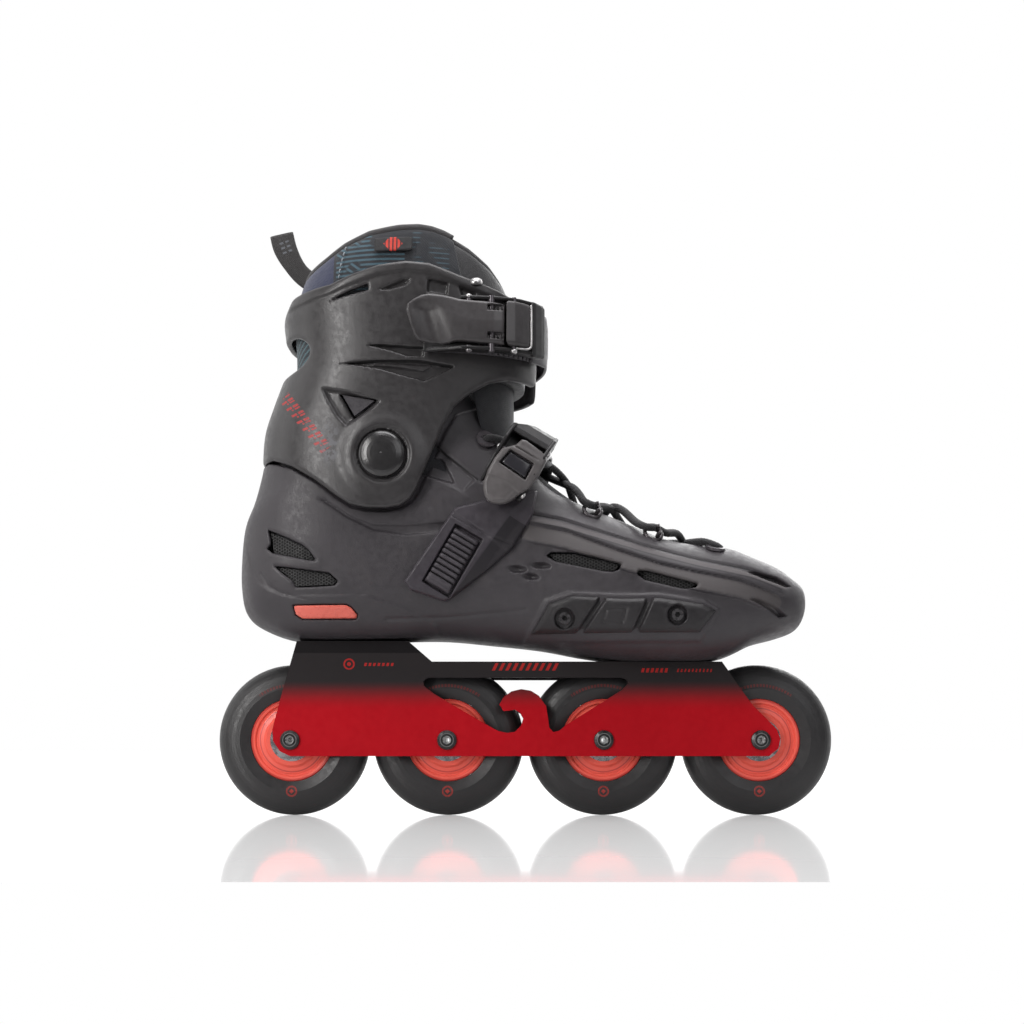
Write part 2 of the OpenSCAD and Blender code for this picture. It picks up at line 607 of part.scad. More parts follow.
module pull_loop() {
    color([0.12, 0.11, 0.11]) plate([[-134.8, 305], [-122.2, 307], [-119.4, 299], [-115.4, 291],
        [-109.4, 284.6], [-104.4, 281.6], [-104.4, 280.7], [-114, 277.7], [-121.4, 279.4],
        [-127.4, 288.4], [-131.6, 297]], -1.7, 1.7);
}

// ---------------------------------------------------------------- cuff
CUFF_SIDE = [[-145, 182.2], [-128, 181.6], [-117, 176.6], [-105, 169.2], [-94, 160.8],
    [-87, 156.4], [-79, 154.6], [-69, 154.4], [-62, 155.6], [-57.2, 159], [-53.6, 164.8],
    [-48, 178], [-41.2, 194.5], [-35.6, 204.3], [-29, 210.4], [-18.4, 217], [-8.8, 220],
    [2, 220.6], [16, 222], [16, 260], [6, 258.4], [-2, 259], [-12.6, 262.8], [-32.5, 268.8],
    [-47.3, 274.2], [-58.8, 275.3], [-72.2, 273.6], [-87, 269.2], [-97, 265.6], [-117, 264],
    [-145, 261]];
TRIANGLE = [[-91, 210.4], [-74, 207.4], [-84.6, 199.4]];
// Small four-cornered opening below the top edge
TOP_SLOT = [[-95.4, 257.6], [-86, 261.4], [-77.6, 263.8], [-77.6, 261.3]];
// Buckle rivets on the lateral side and strap screw on the medial side: x, z
CUFF_RIVETS = [[-44, 243], [-20, 243]];
CUFF_ANCHOR = [-44, 241];

module cuff_shell() {
    color([0.16, 0.16, 0.17]) difference() {
        union() {
            intersection() {
                wall(cuff_rings(0), cuff_rings(cuff_t), false);
                plate(CUFF_SIDE, -80, 80);
            }
            rod_pair(pivot, 15, 43.2, 48.6, 72);
        }
        // front opening
        translate([-30, -17, 190]) cube([60, 34, 100]);
        // rear opening with round ends
        translate([-150, -15, 228]) cube([60, 30, 18]);
        for (y = [-15, 15])
            translate([-150, y, 237]) rotate([0, 90, 0]) cylinder(r = 9, h = 60, $fn = 48);
        rod_pair(pivot, bush_r + bush_gap, 40, 60, 64);
        rod_pair(pivot, 12.4, 46.4, 60, 64);
        plate_pair(TRIANGLE, 40, 60);
        plate_pair(TOP_SLOT, 40, 60);
        for (p = CUFF_RIVETS) rod(p, 2.05, -60, -40, 32);
        rod(CUFF_ANCHOR, 2.6, 40, 60, 32);
    }
}
module triangle_inserts() {
    mid = [-83.2, 205.7];
    color([0.22, 0.22, 0.23])
        plate_pair([for (p = TRIANGLE) mid + (p - mid) * 0.93], 44.6, 46.6);
}
module pivot_bushings() {
    color([0.3, 0.3, 0.31]) difference() {
        rod_pair(pivot, bush_r, 40.6, 46.3, 64);
        rod_pair(pivot, 4.05, 30, 60);
    }
}
module pivot_bolts() {
    color([0.5, 0.5, 0.52]) difference() {
        union() {
            rod_pair(pivot, 4.0, 35.4, 46.6);
            rod_pair(pivot, 8.4, 46.42, 48.0);
        }
        rod_pair(pivot, 2.0, 47, 50, 6);
    }
}
module pivot_nuts() {
    color([0.5, 0.5, 0.52]) difference() {
        rod_pair(pivot, 9.2, 34.0, 35.2);
        rod_pair(pivot, 2.6, 30, 40, 24);
    }
}
module pivot_caps() {
    cap_r = 11.35;
    color([0.03, 0.03, 0.03]) both_sides() translate([pivot_x, 0, pivot_z])
        turned(concat([[0, -48.1], [10.6, -48.1], [cap_r, -48.5]],
            [for (a = [10:10:90]) [cap_r * cos(a), -49 - 3.2 * sin(a)]]));
}

// ---------------------------------------------------------------- cuff buckle
// Upright pins: x, y
CUFF_PIN = [-16.5, -56.5];
// short studs in the cheeks that the closed lever snaps between
CUFF_STUD = [-27.6, -57.2];
RELEASE_PIN = [-5.6, -53.2];
cuff_pin_r = 1.5;
release_pin_r = 1.2;
// Added to a pin's radius for its hole in a buckle base and in a lever or release
base_hole_gap = 0.05;
lever_hole_gap = 0.04;
// Plan of each cheek of the buckle, and of the bridge joining them at the front
CUFF_CHEEK = [[-50, -54.1], [-36, -54.6], [-12, -52.0], [-4, -48.6], [6.6, -39], [9.4, -42.4],
    [-2, -53.6], [-14, -58.4], [-30, -60.4], [-44, -58]];
CUFF_BRIDGE = [[-3.4, -51.0], [-1.6, -49.4], [8.6, -40.4], [9.6, -42.4], [-1.6, -53.2],
    [-3, -53.2]];
CUFF_LEVER_PLAN = [[-57.4, -55.2], [-50, -55.0], [-38, -55.0], [-28, -54.4], [-15, -53.9],
    [-12.8, -55.2], [-12, -58.2], [-22, -60.4], [-34, -60.8], [-46, -59.0], [-54, -58.8],
    [-58, -57]];
CUFF_LEVER_SIDE = [[-58, 250], [-54.8, 253], [-48, 252.9], [-12, 252.9], [-12, 231.8],
    [-44, 231.8], [-49.6, 232.4], [-52.6, 234], [-57, 243]];

module cuff_ladder() {
    function arc(reach, half_width) = strap_arc(-58.4, reach, half_width, 2.5, -90, 80, 30);
    color([0.12, 0.12, 0.13]) difference() {
        translate([0, 0, 228.4]) linear_extrude(23.6)
            polygon(there_and_back(arc(70.0, 53.6), arc(67.8, 51.5)));
        rod(CUFF_ANCHOR, 2.7, 40, 60, 32);
        // trim the lateral end
        translate([-80, -60, 200]) cube([24, 30, 80]);
        // slots
        for (i = [0:9]) translate([-52 + i * 3.2, -60, 229.6]) cube([1.2, 6.9, 5]);
        // room for the rivets' heads
        for (p = CUFF_RIVETS) rod(p, 4.4, -60, -30, 32);
    }
}
module cuff_anchor_screw() {
    color([0.4, 0.4, 0.42]) {
        rod(CUFF_ANCHOR, 2.5, 46.6, 54.6, 32);
        rod(CUFF_ANCHOR, 6.2, 54.5, 56.4, 40);
    }
}
module cuff_buckle_base() {
    color([0.1, 0.1, 0.11]) difference() {
        union() {
            for (z = [229.4, 253.2])
                translate([0, 0, z]) linear_extrude(2.0) polygon(CUFF_CHEEK);
            translate([0, 0, 227.6]) linear_extrude(29.6) polygon(CUFF_BRIDGE);
        }
        for (p = [CUFF_PIN, CUFF_STUD]) post(p, cuff_pin_r + base_hole_gap, 220, 50);
        post(RELEASE_PIN, release_pin_r + base_hole_gap, 220, 50);
    }
}
module cuff_buckle_rivets() {
    color([0.7, 0.7, 0.72]) for (p = CUFF_RIVETS) {
        rod(p, 2.0, -50.6, -45.4, 32);
        rod(p, 4.0, -52.0, -50.5, 32);
    }
}
module cuff_hinge_pin() {
    color([0.75, 0.75, 0.77]) {
        post(CUFF_PIN, cuff_pin_r, 228.6, 27.4);
        for (z = [228.6, 253.1]) post(CUFF_STUD, cuff_pin_r, z, 2.9);
        post(RELEASE_PIN, release_pin_r, 228.6, 27.4);
    }
}
module cuff_lever() {
    color([0.13, 0.13, 0.14]) difference() {
        intersection() {
            translate([0, 0, 220]) linear_extrude(40) polygon(CUFF_LEVER_PLAN);
            plate(CUFF_LEVER_SIDE, -70, -50);
        }
        post(CUFF_PIN, cuff_pin_r + lever_hole_gap, 220, 50);
    }
}
module cuff_release() {
    color([0.11, 0.11, 0.12]) difference() {
        translate([0, 0, 231.8]) linear_extrude(21.1) polygon([[-11.2, -55.0], [-6, -51.6],
            [-3.9, -51.2], [-3.9, -54.4], [-4.8, -55.6], [-11.2, -59.2]]);
        post(RELEASE_PIN, release_pin_r + lever_hole_gap, 220, 50);
    }
}

// ---------------------------------------------------------------- instep buckle
// Local axes: X along the strap (up and forward), Z across it (up and back)
module instep() {
    translate([-37, 0, 112]) rotate([0, -59.4, 0]) children();
}
ARM = [[-4.6, 1], [-2.4, -0.6], [18.5, -9.4], [35.2, -15], [54.3, -15.2], [67, -10.4],
    [46, 11.8], [37.7, 20.2], [-6.4, 23.4], [-8.4, 18.8]];
ARM_SCREWS = [[2, 19.2], [46, -9]];
INSTEP_ANCHOR = [47, 3.6];
INSTEP_PIN = [74, -52.6];
instep_pin_r = 1.3;
// Plan of each cheek of the buckle, and of the bridge joining them at the front
INSTEP_CHEEK = [[50, -49.9], [66, -49.9], [74, -49.0], [84, -45.2], [90, -40.2], [93, -42.8],
    [88, -49.6], [80, -54.8], [70, -55.8], [56, -54.4]];
INSTEP_BRIDGE = [[84.6, -45.6], [90.6, -40.4], [92, -42.0], [86.2, -47.6]];
INSTEP_LEVER_PLAN = [[48, -51.6], [60, -51.2], [70, -50.9], [78, -50.6], [80.5, -51.6],
    [79, -54.6], [72, -56.6], [60, -57.2], [52, -56.2], [48, -53.6]];
INSTEP_LEVER_SIDE = [[48, 8], [50, 2], [54.4, -2.4], [64.4, -4.6], [77.2, -4.6], [81.4, -4.0],
    [82.6, 7.4], [76.6, 12.4], [65.8, 13.4], [51.4, 11.8]];

module instep_arm() {
    color([0.14, 0.13, 0.15]) instep() difference() {
        plate(ARM, -48.0, -45.0);
        for (p = ARM_SCREWS) rod(p, 2.1, -60, -40, 32);
        // recess for the ladder's end
        plate(rect(-0.5, 0.6, 30, 15.4), -49, -46.6);
    }
}
module instep_arm_screws() {
    color([0.4, 0.4, 0.42]) instep() for (p = ARM_SCREWS) {
        rod(p, 2.0, -48.6, -45.2, 32);
        rod(p, 3.6, -49.6, -48.05, 32);
    }
}
module instep_ladder() {
    color([0.16, 0.15, 0.17]) instep() {
        plate([[-0.2, 0.9], [29.8, 0.9], [66, -2.6], [66, 10.4], [29.8, 15.1], [-0.2, 15.1]],
            -49.2, -48.1);
        plate(rect(-0.2, 0.9, 29.6, 15.1), -48.3, -46.7);
        // teeth
        for (i = [0:7]) plate(rect(1 + i * 3.6, 1.6, 3.4 + i * 3.6, 14.4), -50.4, -49.1);
    }
}
module instep_strap() {
    function arc(reach, half_width) = strap_arc(38, reach, half_width, 2.3, -38, 84, 28);
    color([0.11, 0.11, 0.12]) instep() difference() {
        translate([0, 0, -6]) linear_extrude(19)
            polygon(there_and_back(arc(53.4, 49.4), arc(50.8, 46.9)));
        rod(INSTEP_ANCHOR, 2.7, 40, 60, 32);
    }
}
module instep_anchor_screw() {
    color([0.4, 0.4, 0.42]) instep() {
        rod(INSTEP_ANCHOR, 2.5, 46.4, 50.4, 32);
        rod(INSTEP_ANCHOR, 6.0, 50.3, 51.8, 40);
    }
}
module instep_buckle_base() {
    color([0.1, 0.1, 0.11]) instep() difference() {
        union() {
            for (z = [-6.6, 13.6])
                translate([0, 0, z]) linear_extrude(1.8) polygon(INSTEP_CHEEK);
            translate([0, 0, -6.6]) linear_extrude(22) polygon(INSTEP_BRIDGE);
        }
        post(INSTEP_PIN, instep_pin_r + base_hole_gap, -20, 60);
    }
}
module instep_hinge_pin() {
    color([0.75, 0.75, 0.77]) instep() post(INSTEP_PIN, instep_pin_r, -7.4, 23.6);
}
module instep_lever() {
    color([0.13, 0.13, 0.14]) instep() difference() {
        intersection() {
            translate([0, 0, -20]) linear_extrude(50) polygon(INSTEP_LEVER_PLAN);
            plate(INSTEP_LEVER_SIDE, -70, -40);
        }
        // window for the release
        plate(rect(62.2, -0.6, 71.6, 9.4), -58, -48);
        post(INSTEP_PIN, instep_pin_r + lever_hole_gap, -20, 60);
    }
}
module instep_release() {
    color([0.16, 0.15, 0.17]) instep() plate(rect(62.6, -0.2, 71.2, 9.0), -56.2, -53.2);
}

// ---------------------------------------------------------------- numbered wheels, heel to toe
module tyre_1() { tyre(axle_xs[0]); }
module tyre_2() { tyre(axle_xs[1]); }
module tyre_3() { tyre(axle_xs[2]); }
module tyre_4() { tyre(axle_xs[3]); }
module hub_1() { hub(axle_xs[0]); }
module hub_2() { hub(axle_xs[1]); }
module hub_3() { hub(axle_xs[2]); }
module hub_4() { hub(axle_xs[3]); }
module bearing_outer_races_1() { bearing_outer_races(axle_xs[0]); }
module bearing_outer_races_2() { bearing_outer_races(axle_xs[1]); }
module bearing_outer_races_3() { bearing_outer_races(axle_xs[2]); }
module bearing_outer_races_4() { bearing_outer_races(axle_xs[3]); }
module ball_cages_1() { ball_cages(axle_xs[0]); }
module ball_cages_2() { ball_cages(axle_xs[1]); }
module ball_cages_3() { ball_cages(axle_xs[2]); }
module ball_cages_4() { ball_cages(axle_xs[3]); }

frame();
axle_bolts();
bearing_inner_races();
bearing_spacers();
mounting_bolts();
mounting_washers();
sole_inserts();
boot_shell();
heel_shock_pad();
footbed();
vent_mesh();
heel_reflectors();
side_sliders();
slider_screws();
lace_eyelets();
lace_hooks();
lace();
liner_lower();
tongue_lower();
instep_arm();
instep_arm_screws();
instep_ladder();
instep_strap();
instep_anchor_screw();
instep_buckle_base();
instep_hinge_pin();
pivot_bushings();
pivot_bolts();
pivot_nuts();
pivot_caps();
cuff_shell();
triangle_inserts();
liner_upper();
tongue_upper();
pull_loop();
cuff_buckle_base();
cuff_buckle_rivets();
cuff_ladder();
cuff_anchor_screw();
cuff_hinge_pin();
cuff_lever();
cuff_release();
instep_lever();
instep_release();
tyre_1();
hub_1();
bearing_outer_races_1();
ball_cages_1();
tyre_2();
hub_2();
bearing_outer_races_2();
ball_cages_2();
tyre_3();
hub_3();
bearing_outer_races_3();
ball_cages_3();
tyre_4();
hub_4();
bearing_outer_races_4();
ball_cages_4();
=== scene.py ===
# Inline skate, right foot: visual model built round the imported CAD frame. Metres; millimetres inside the field helpers.
import bpy, bmesh, math
import numpy as np
import openvdb as vdb
from mathutils import Vector, Matrix


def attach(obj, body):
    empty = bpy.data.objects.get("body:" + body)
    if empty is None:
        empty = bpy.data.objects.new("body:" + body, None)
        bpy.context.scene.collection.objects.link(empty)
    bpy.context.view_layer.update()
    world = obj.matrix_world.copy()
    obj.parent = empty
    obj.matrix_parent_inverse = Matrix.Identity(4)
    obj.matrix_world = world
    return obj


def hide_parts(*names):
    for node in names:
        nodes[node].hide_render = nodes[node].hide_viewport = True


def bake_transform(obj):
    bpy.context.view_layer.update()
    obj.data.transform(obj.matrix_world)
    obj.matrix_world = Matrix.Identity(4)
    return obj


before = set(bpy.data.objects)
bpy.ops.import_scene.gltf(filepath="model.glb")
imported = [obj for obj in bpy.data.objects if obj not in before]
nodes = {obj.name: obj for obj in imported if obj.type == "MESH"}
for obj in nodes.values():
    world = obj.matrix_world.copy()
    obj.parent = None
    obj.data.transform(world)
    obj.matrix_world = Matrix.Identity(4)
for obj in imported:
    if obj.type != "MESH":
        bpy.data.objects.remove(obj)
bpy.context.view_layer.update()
MM = 0.001
VOX = 0.7

# ------------------------------------------------------------------ section tables (the same design as the CAD)
BOOT = [
    [144.8, 108.0, 144.8, 114.0, 0, 8.0, 2.0, 2.0], [143.8, 101.5, 143.2, 119.5, 0, 21.0, 2.2, 2.2],
    [140.0, 96.0, 138.5, 123.5, 0, 30.0, 2.3, 2.2], [131.0, 92.5, 129.5, 129.6, 0, 37.5, 2.5, 2.2],
    [118.0, 89.0, 118.0, 134.6, 0, 42.5, 2.8, 2.2], [104.0, 82.5, 106.0, 139.3, 0, 46.0, 3.0, 2.2],
    [90.0, 80.2, 92.5, 141.0, 0, 48.3, 3.2, 2.2], [70.0, 80.2, 73.5, 142.4, 18, 49.3, 3.2, 2.2],
    [50.0, 80.2, 51.0, 151.0, 20, 48.8, 3.2, 2.2], [30.0, 82.6, 29.0, 159.6, 22, 46.8, 3.0, 2.2],
    [8.0, 86.6, 12.6, 167.0, 24, 44.2, 3.0, 2.3], [-18.0, 89.4, -2.0, 183.0, 24, 42.4, 3.0, 2.5],
    [-45.0, 91.6, -12.0, 193.0, 24, 41.4, 3.0, 2.7], [-84.0, 90.8, -18.0, 199.0, 24, 41.0, 3.0, 3.0],
    [-117.0, 90.9, -20.0, 203.0, 24, 40.6, 2.8, 3.1], [-136.0, 96.6, -21.5, 206.0, 24, 40.4, 2.6, 3.2],
    [-145.6, 104.6, -22.5, 208.4, 24, 40.4, 2.4, 3.2], [-148.6, 118.0, -23.6, 210.6, 24, 40.4, 2.3, 3.2],
    [-148.4, 134.5, -24.8, 213.0, 24, 40.4, 2.3, 3.2], [-146.6, 149.5, -26.0, 215.2, 24, 40.4, 2.3, 3.2],
    [-142.2, 161.0, -27.6, 217.2, 24, 40.4, 2.3, 3.2], [-139.0, 172.0, -29.4, 219.2, 24, 40.4, 2.3, 3.2],
    [-136.9, 181.5, -31.2, 221.2, 24, 40.4, 2.3, 3.2], [-135.4, 192.0, -33.0, 223.4, 24, 40.4, 2.3, 3.2],
    [-134.4, 204.0, -35.0, 226.0, 24, 40.4, 2.3, 3.2]]
CUFF = [[140, -127.0, -4.0, 46.6], [146, -130.0, -2.0, 47.0], [158, -134.0, 0.0, 47.2], [170, -136.4, 1.0, 47.4],
        [184, -137.0, 2.0, 47.6], [198, -135.8, 4.0, 47.8], [211, -131.6, 6.0, 48.2], [222, -127.4, 7.5, 48.8],
        [230, -124.4, 8.0, 49.4], [245, -124.8, 8.0, 50.2], [256, -125.6, 8.0, 50.8], [266, -121.8, 7.0, 51.0],
        [281, -116.0, 3.0, 50.6], [288, -113.0, 1.0, 50.4]]
CUFF_SIDE = [[-145, 181.8], [-128, 181.2], [-117, 176.6], [-105, 169.2], [-94, 160.8], [-87, 156.4], [-79, 154.6],
             [-69, 154.4], [-62, 155.6], [-57.2, 159], [-53.6, 164.8], [-48, 178], [-41.2, 194.5], [-35.6, 204.3],
             [-29, 210.4], [-18.4, 217], [-8.8, 220], [2, 220.6], [16, 222], [16, 260], [6, 258.4], [-2, 259],
             [-12.6, 262.8], [-32.5, 268.8], [-47.3, 274.2], [-58.8, 275.3], [-72.2, 273.6], [-87, 269.2],
             [-97, 265.6], [-117, 264], [-145, 261]]
LEG = [[186, -131.8, -2.0, 43.2], [200, -130.8, -1.0, 43.4], [211, -127.2, 0.0, 44.0], [222, -123.2, 1.6, 44.6],
       [230, -120.4, 2.0, 45.2], [245, -120.8, 1.6, 46.2], [256, -121.4, -1.0, 46.8], [266, -119.4, -4.0, 46.6],
       [276, -116.4, -8.0, 45.6], [286, -112.0, -12.0, 43.8], [298, -106.0, -17.0, 41.0]]
PIV = (-70.8, 180.7)


def pw(c, n):
    return np.sign(c) * np.abs(c) ** (2.0 / n)


def catmull(rows, sub):
    """Smooth the stations of a table; the given stations stay where they are."""
    R = np.array(rows, float)
    out = []
    for i in range(len(R) - 1):
        p0, p1, p2, p3 = R[max(i - 1, 0)], R[i], R[i + 1], R[min(i + 2, len(R) - 1)]
        for k in range(sub):
            t = k / sub
            out.append(0.5 * ((2 * p1) + (p2 - p0) * t + (2 * p0 - 5 * p1 + 4 * p2 - p3) * t * t
                              + (3 * p1 - p0 - 3 * p2 + p3) * t ** 3))
    out.append(R[-1])
    return np.array(out)


def boot_rings(sub=6, n=120):
    rows = []
    for s in BOOT:
        O, E = np.array(s[:2]), np.array(s[2:4])
        k = 2 / (1 + (1 - (s[4] / s[5]) ** s[7]) ** (1 / s[7]))
        I = O + (E - O) * k
        rows.append([O[0], O[1], I[0], I[1], s[5], s[6], s[7]])
    rings = []
    a = np.arange(n) / n * 2 * math.pi
    for r in catmull(rows, sub):
        O, I, W, no, ni = r[:2], r[2:4], r[4], r[5], r[6]
        L = np.linalg.norm(I - O)
        d = (I - O) / L
        C = (O + I) / 2
        q = np.sin(a)
        nn = np.where(q < 0, no, ni)
        h = L / 2 * pw(q, nn)
        rings.append(np.stack([C[0] + d[0] * h, W * pw(np.cos(a), nn), C[1] + d[1] * h], 1))
    return rings


def oval_rings(table, sub=5, n=140, e=2.5, d=0.0):
    a = np.arange(n) / n * 2 * math.pi
    out = []
    for z, xb, xf, w in catmull(table, sub):
        xb, xf, w = xb + d, xf - d, w - d
        out.append(np.stack([(xb + xf) / 2 + (xf - xb) / 2 * pw(np.cos(a), e), w * pw(np.sin(a), e), np.full(n, z)], 1))
    return out


def loft_arrays(rings):
    """Closed triangle mesh from a stack of rings, with fan caps."""
    n = len(rings[0])
    pts = np.concatenate(rings + [rings[0].mean(0)[None], rings[-1].mean(0)[None]])
    T = []
    for i in range(len(rings) - 1):
        for j in range(n):
            k = (j + 1) % n
            a, b = i * n, (i + 1) * n
            T.append((a + j, b + j, b + k))
            T.append((a + j, b + k, a + k))
    c0, c1, e = len(pts) - 2, len(pts) - 1, (len(rings) - 1) * n
    for j in range(n):
        k = (j + 1) % n
        T.append((c0, j, k))
        T.append((c1, e + k, e + j))
    return pts, np.array(T, np.int32)


# ------------------------------------------------------------------ distance fields
class Field:
    """A dense block of signed distances in millimetres, negative inside."""

    def __init__(self, lo, hi, vox):
        self.v = vox
        self.lo = np.array(lo, float)
        self.n = np.ceil((np.array(hi) - self.lo) / vox).astype(int) + 1
        self.x = (self.lo[0] + np.arange(self.n[0]) * vox).astype(np.float32)[:, None, None]
        self.y = (self.lo[1] + np.arange(self.n[1]) * vox).astype(np.float32)[None, :, None]
        self.z = (self.lo[2] + np.arange(self.n[2]) * vox).astype(np.float32)[None, None, :]

    def mesh_distance(self, pts, tris, band=14):
        t = vdb.createLinearTransform(self.v)
        p = ((np.asarray(pts, float) - self.lo)).astype(np.float32)
        g = vdb.FloatGrid.createLevelSetFromPolygons(p, triangles=tris.astype(np.uint32), transform=t, halfWidth=float(band))
        a = np.full(tuple(self.n), band * self.v, np.float32)
        g.copyToArray(a)
        inside = g.background
        a = np.where(np.abs(a) >= inside, np.sign(a) * band * self.v, a)
        return a.astype(np.float32)

    def poly(self, pts, axes="xz"):
        """Signed distance to a 2-D polygon, spread along the third axis."""
        A = {"x": self.x, "y": self.y, "z": self.z}
        u, w = A[axes[0]], A[axes[1]]
        return poly_distance(pts, u, w)

    def mesh(self, name, d, smooth=0, adapt=0.0):
        g = vdb.FloatGrid(2.0)
        g.transform = vdb.createLinearTransform(self.v)
        b = np.clip(d, -2.0, 2.0).astype(np.float32)
        b[0], b[-1], b[:, 0], b[:, -1], b[:, :, 0], b[:, :, -1] = 2, 2, 2, 2, 2, 2
        g.copyFromArray(b, tolerance=0.0)
        p, t, q = g.convertToPolygons(isovalue=0.0, adaptivity=adapt)
        p = (p + self.lo) * MM
        me = bpy.data.meshes.new(name)
        F = [tuple(int(i) for i in r[::-1]) for r in q] + [tuple(int(i) for i in r[::-1]) for r in t]
        me.from_pydata(p.tolist(), [], F)
        me.update()
        me.shade_smooth()
        o = bpy.data.objects.new(name, me)
        bpy.context.scene.collection.objects.link(o)
        drop_specks(o)
        if smooth:
            smooth_mesh(o, smooth)
        return o


def drop_specks(o, least=60):
    bm = bmesh.new()
    bm.from_mesh(o.data)
    seen, bad = set(), []
    for v in bm.verts:
        if v in seen:
            continue
        stack, part = [v], []
        seen.add(v)
        while stack:
            a = stack.pop()
            part.append(a)
            for e in a.link_edges:
                b = e.other_vert(a)
                if b not in seen:
                    seen.add(b)
                    stack.append(b)
        if len(part) < least:
            bad += part
    if bad:
        bmesh.ops.delete(bm, geom=bad, context="VERTS")
    bmesh.ops.recalc_face_normals(bm, faces=bm.faces)
    bm.to_mesh(o.data)
    bm.free()


def smooth_mesh(o, times, k=0.5):
    me = o.data
    n = len(me.vertices)
    co = np.empty(n * 3)
    me.vertices.foreach_get("co", co)
    co = co.reshape(n, 3)
    e = np.empty(len(me.edges) * 2, np.int64)
    me.edges.foreach_get("vertices", e)
    e = e.reshape(-1, 2)
    deg = np.bincount(e.ravel(), minlength=n)[:, None]
    for i in range(times * 2):
        f = k if i % 2 == 0 else -k * 1.02
        s = np.zeros_like(co)
        for c in range(3):
            s[:, c] = np.bincount(e[:, 0], co[e[:, 1], c], n) + np.bincount(e[:, 1], co[e[:, 0], c], n)
        co = co + f * (s / np.maximum(deg, 1) - co)
    me.vertices.foreach_set("co", co.ravel())
    me.update()


def poly_distance(pts, u, w):
    pts = np.array(pts, np.float32)
    d2 = None
    inside = None
    for i in range(len(pts)):
        a, b = pts[i], pts[(i + 1) % len(pts)]
        e = b - a
        L = float(e @ e) + 1e-9
        t = np.clip(((u - a[0]) * e[0] + (w - a[1]) * e[1]) / L, 0, 1)
        dx, dy = u - a[0] - t * e[0], w - a[1] - t * e[1]
        q = dx * dx + dy * dy
        d2 = q if d2 is None else np.minimum(d2, q)
        if abs(b[1] - a[1]) > 1e-9:
            c = ((a[1] <= w) != (b[1] <= w)) & (u < (b[0] - a[0]) * (w - a[1]) / (b[1] - a[1]) + a[0])
            inside = c if inside is None else inside ^ c
    return np.where(inside, -1, 1) * np.sqrt(d2)


def smin(a, b, k):
    h = np.maximum(k - np.abs(a - b), 0) / k
    return np.minimum(a, b) - h * h * k * 0.25


def smax(a, b, k):
    return -smin(-a, -b, k)


def step(lo, hi, x):
    t = np.clip((x - lo) / (hi - lo), 0, 1)
    return t * t * (3 - 2 * t)


def line_distance(pts, u, w):
    """Distance to an open polyline and the share of its length at the nearest point."""
    pts = np.array(pts, np.float32)
    seg = np.linalg.norm(np.diff(pts, axis=0), axis=1)
    acc = np.concatenate([[0], np.cumsum(seg)])
    best = share = None
    for i in range(len(pts) - 1):
        a, e = pts[i], pts[i + 1] - pts[i]
        t = np.clip(((u - a[0]) * e[0] + (w - a[1]) * e[1]) / float(e @ e), 0, 1)
        q = (u - a[0] - t * e[0]) ** 2 + (w - a[1] - t * e[1]) ** 2
        s = (acc[i] + t * seg[i]) / acc[-1]
        if best is None:
            best, share = q, s + 0 * q
        else:
            m = q < best
            best, share = np.where(m, q, best), np.where(m, s, share)
    return np.sqrt(best), share


# ------------------------------------------------------------------ boot shell
G = Field((-155, -57, 72), (152, 57, 232), VOX)
BP, BT = loft_arrays(boot_rings())
dA = G.mesh_distance(BP, BT, band=16)
X, Y, Z = G.x, G.y, G.z
AY = np.abs(Y)
VENTS = [
    [[10.5, 131.2], [13, 132.8], [24.5, 132.4], [36, 129.6], [47.4, 126.3], [46.4, 124.0], [43.5, 122.8], [38.3, 123.2], [15.1, 128.3]],
    [[55.0, 121.6], [56.2, 123.1], [60.5, 122.9], [72, 120], [85.2, 116.4], [84, 114.8], [80, 114.2], [75.5, 114.8], [59.2, 118.6]],
    [[-130, 145.6], [-121, 141.8], [-112.2, 137.5], [-109, 134.9], [-105, 129.5], [-109, 129.8], [-127.8, 134.1], [-130.6, 136.4], [-128.6, 138.4], [-128.9, 141.2]],
    [[-126.6, 127.3], [-112, 125.2], [-98.3, 123.2], [-94.0, 119.2], [-95.8, 117.2], [-105, 116.7], [-115.6, 116.5], [-117, 119.6], [-121.4, 122.9]]]
TOE_VENTS = [[[106.5, 124.2], [114.7, 123.9], [126.4, 121.3], [134.6, 116.4], [130.4, 115.8], [121.3, 118.6]],
             [[109.6, 109.6], [114.9, 109.9], [125, 106.6], [132.2, 101.8], [127.5, 100.8]]]


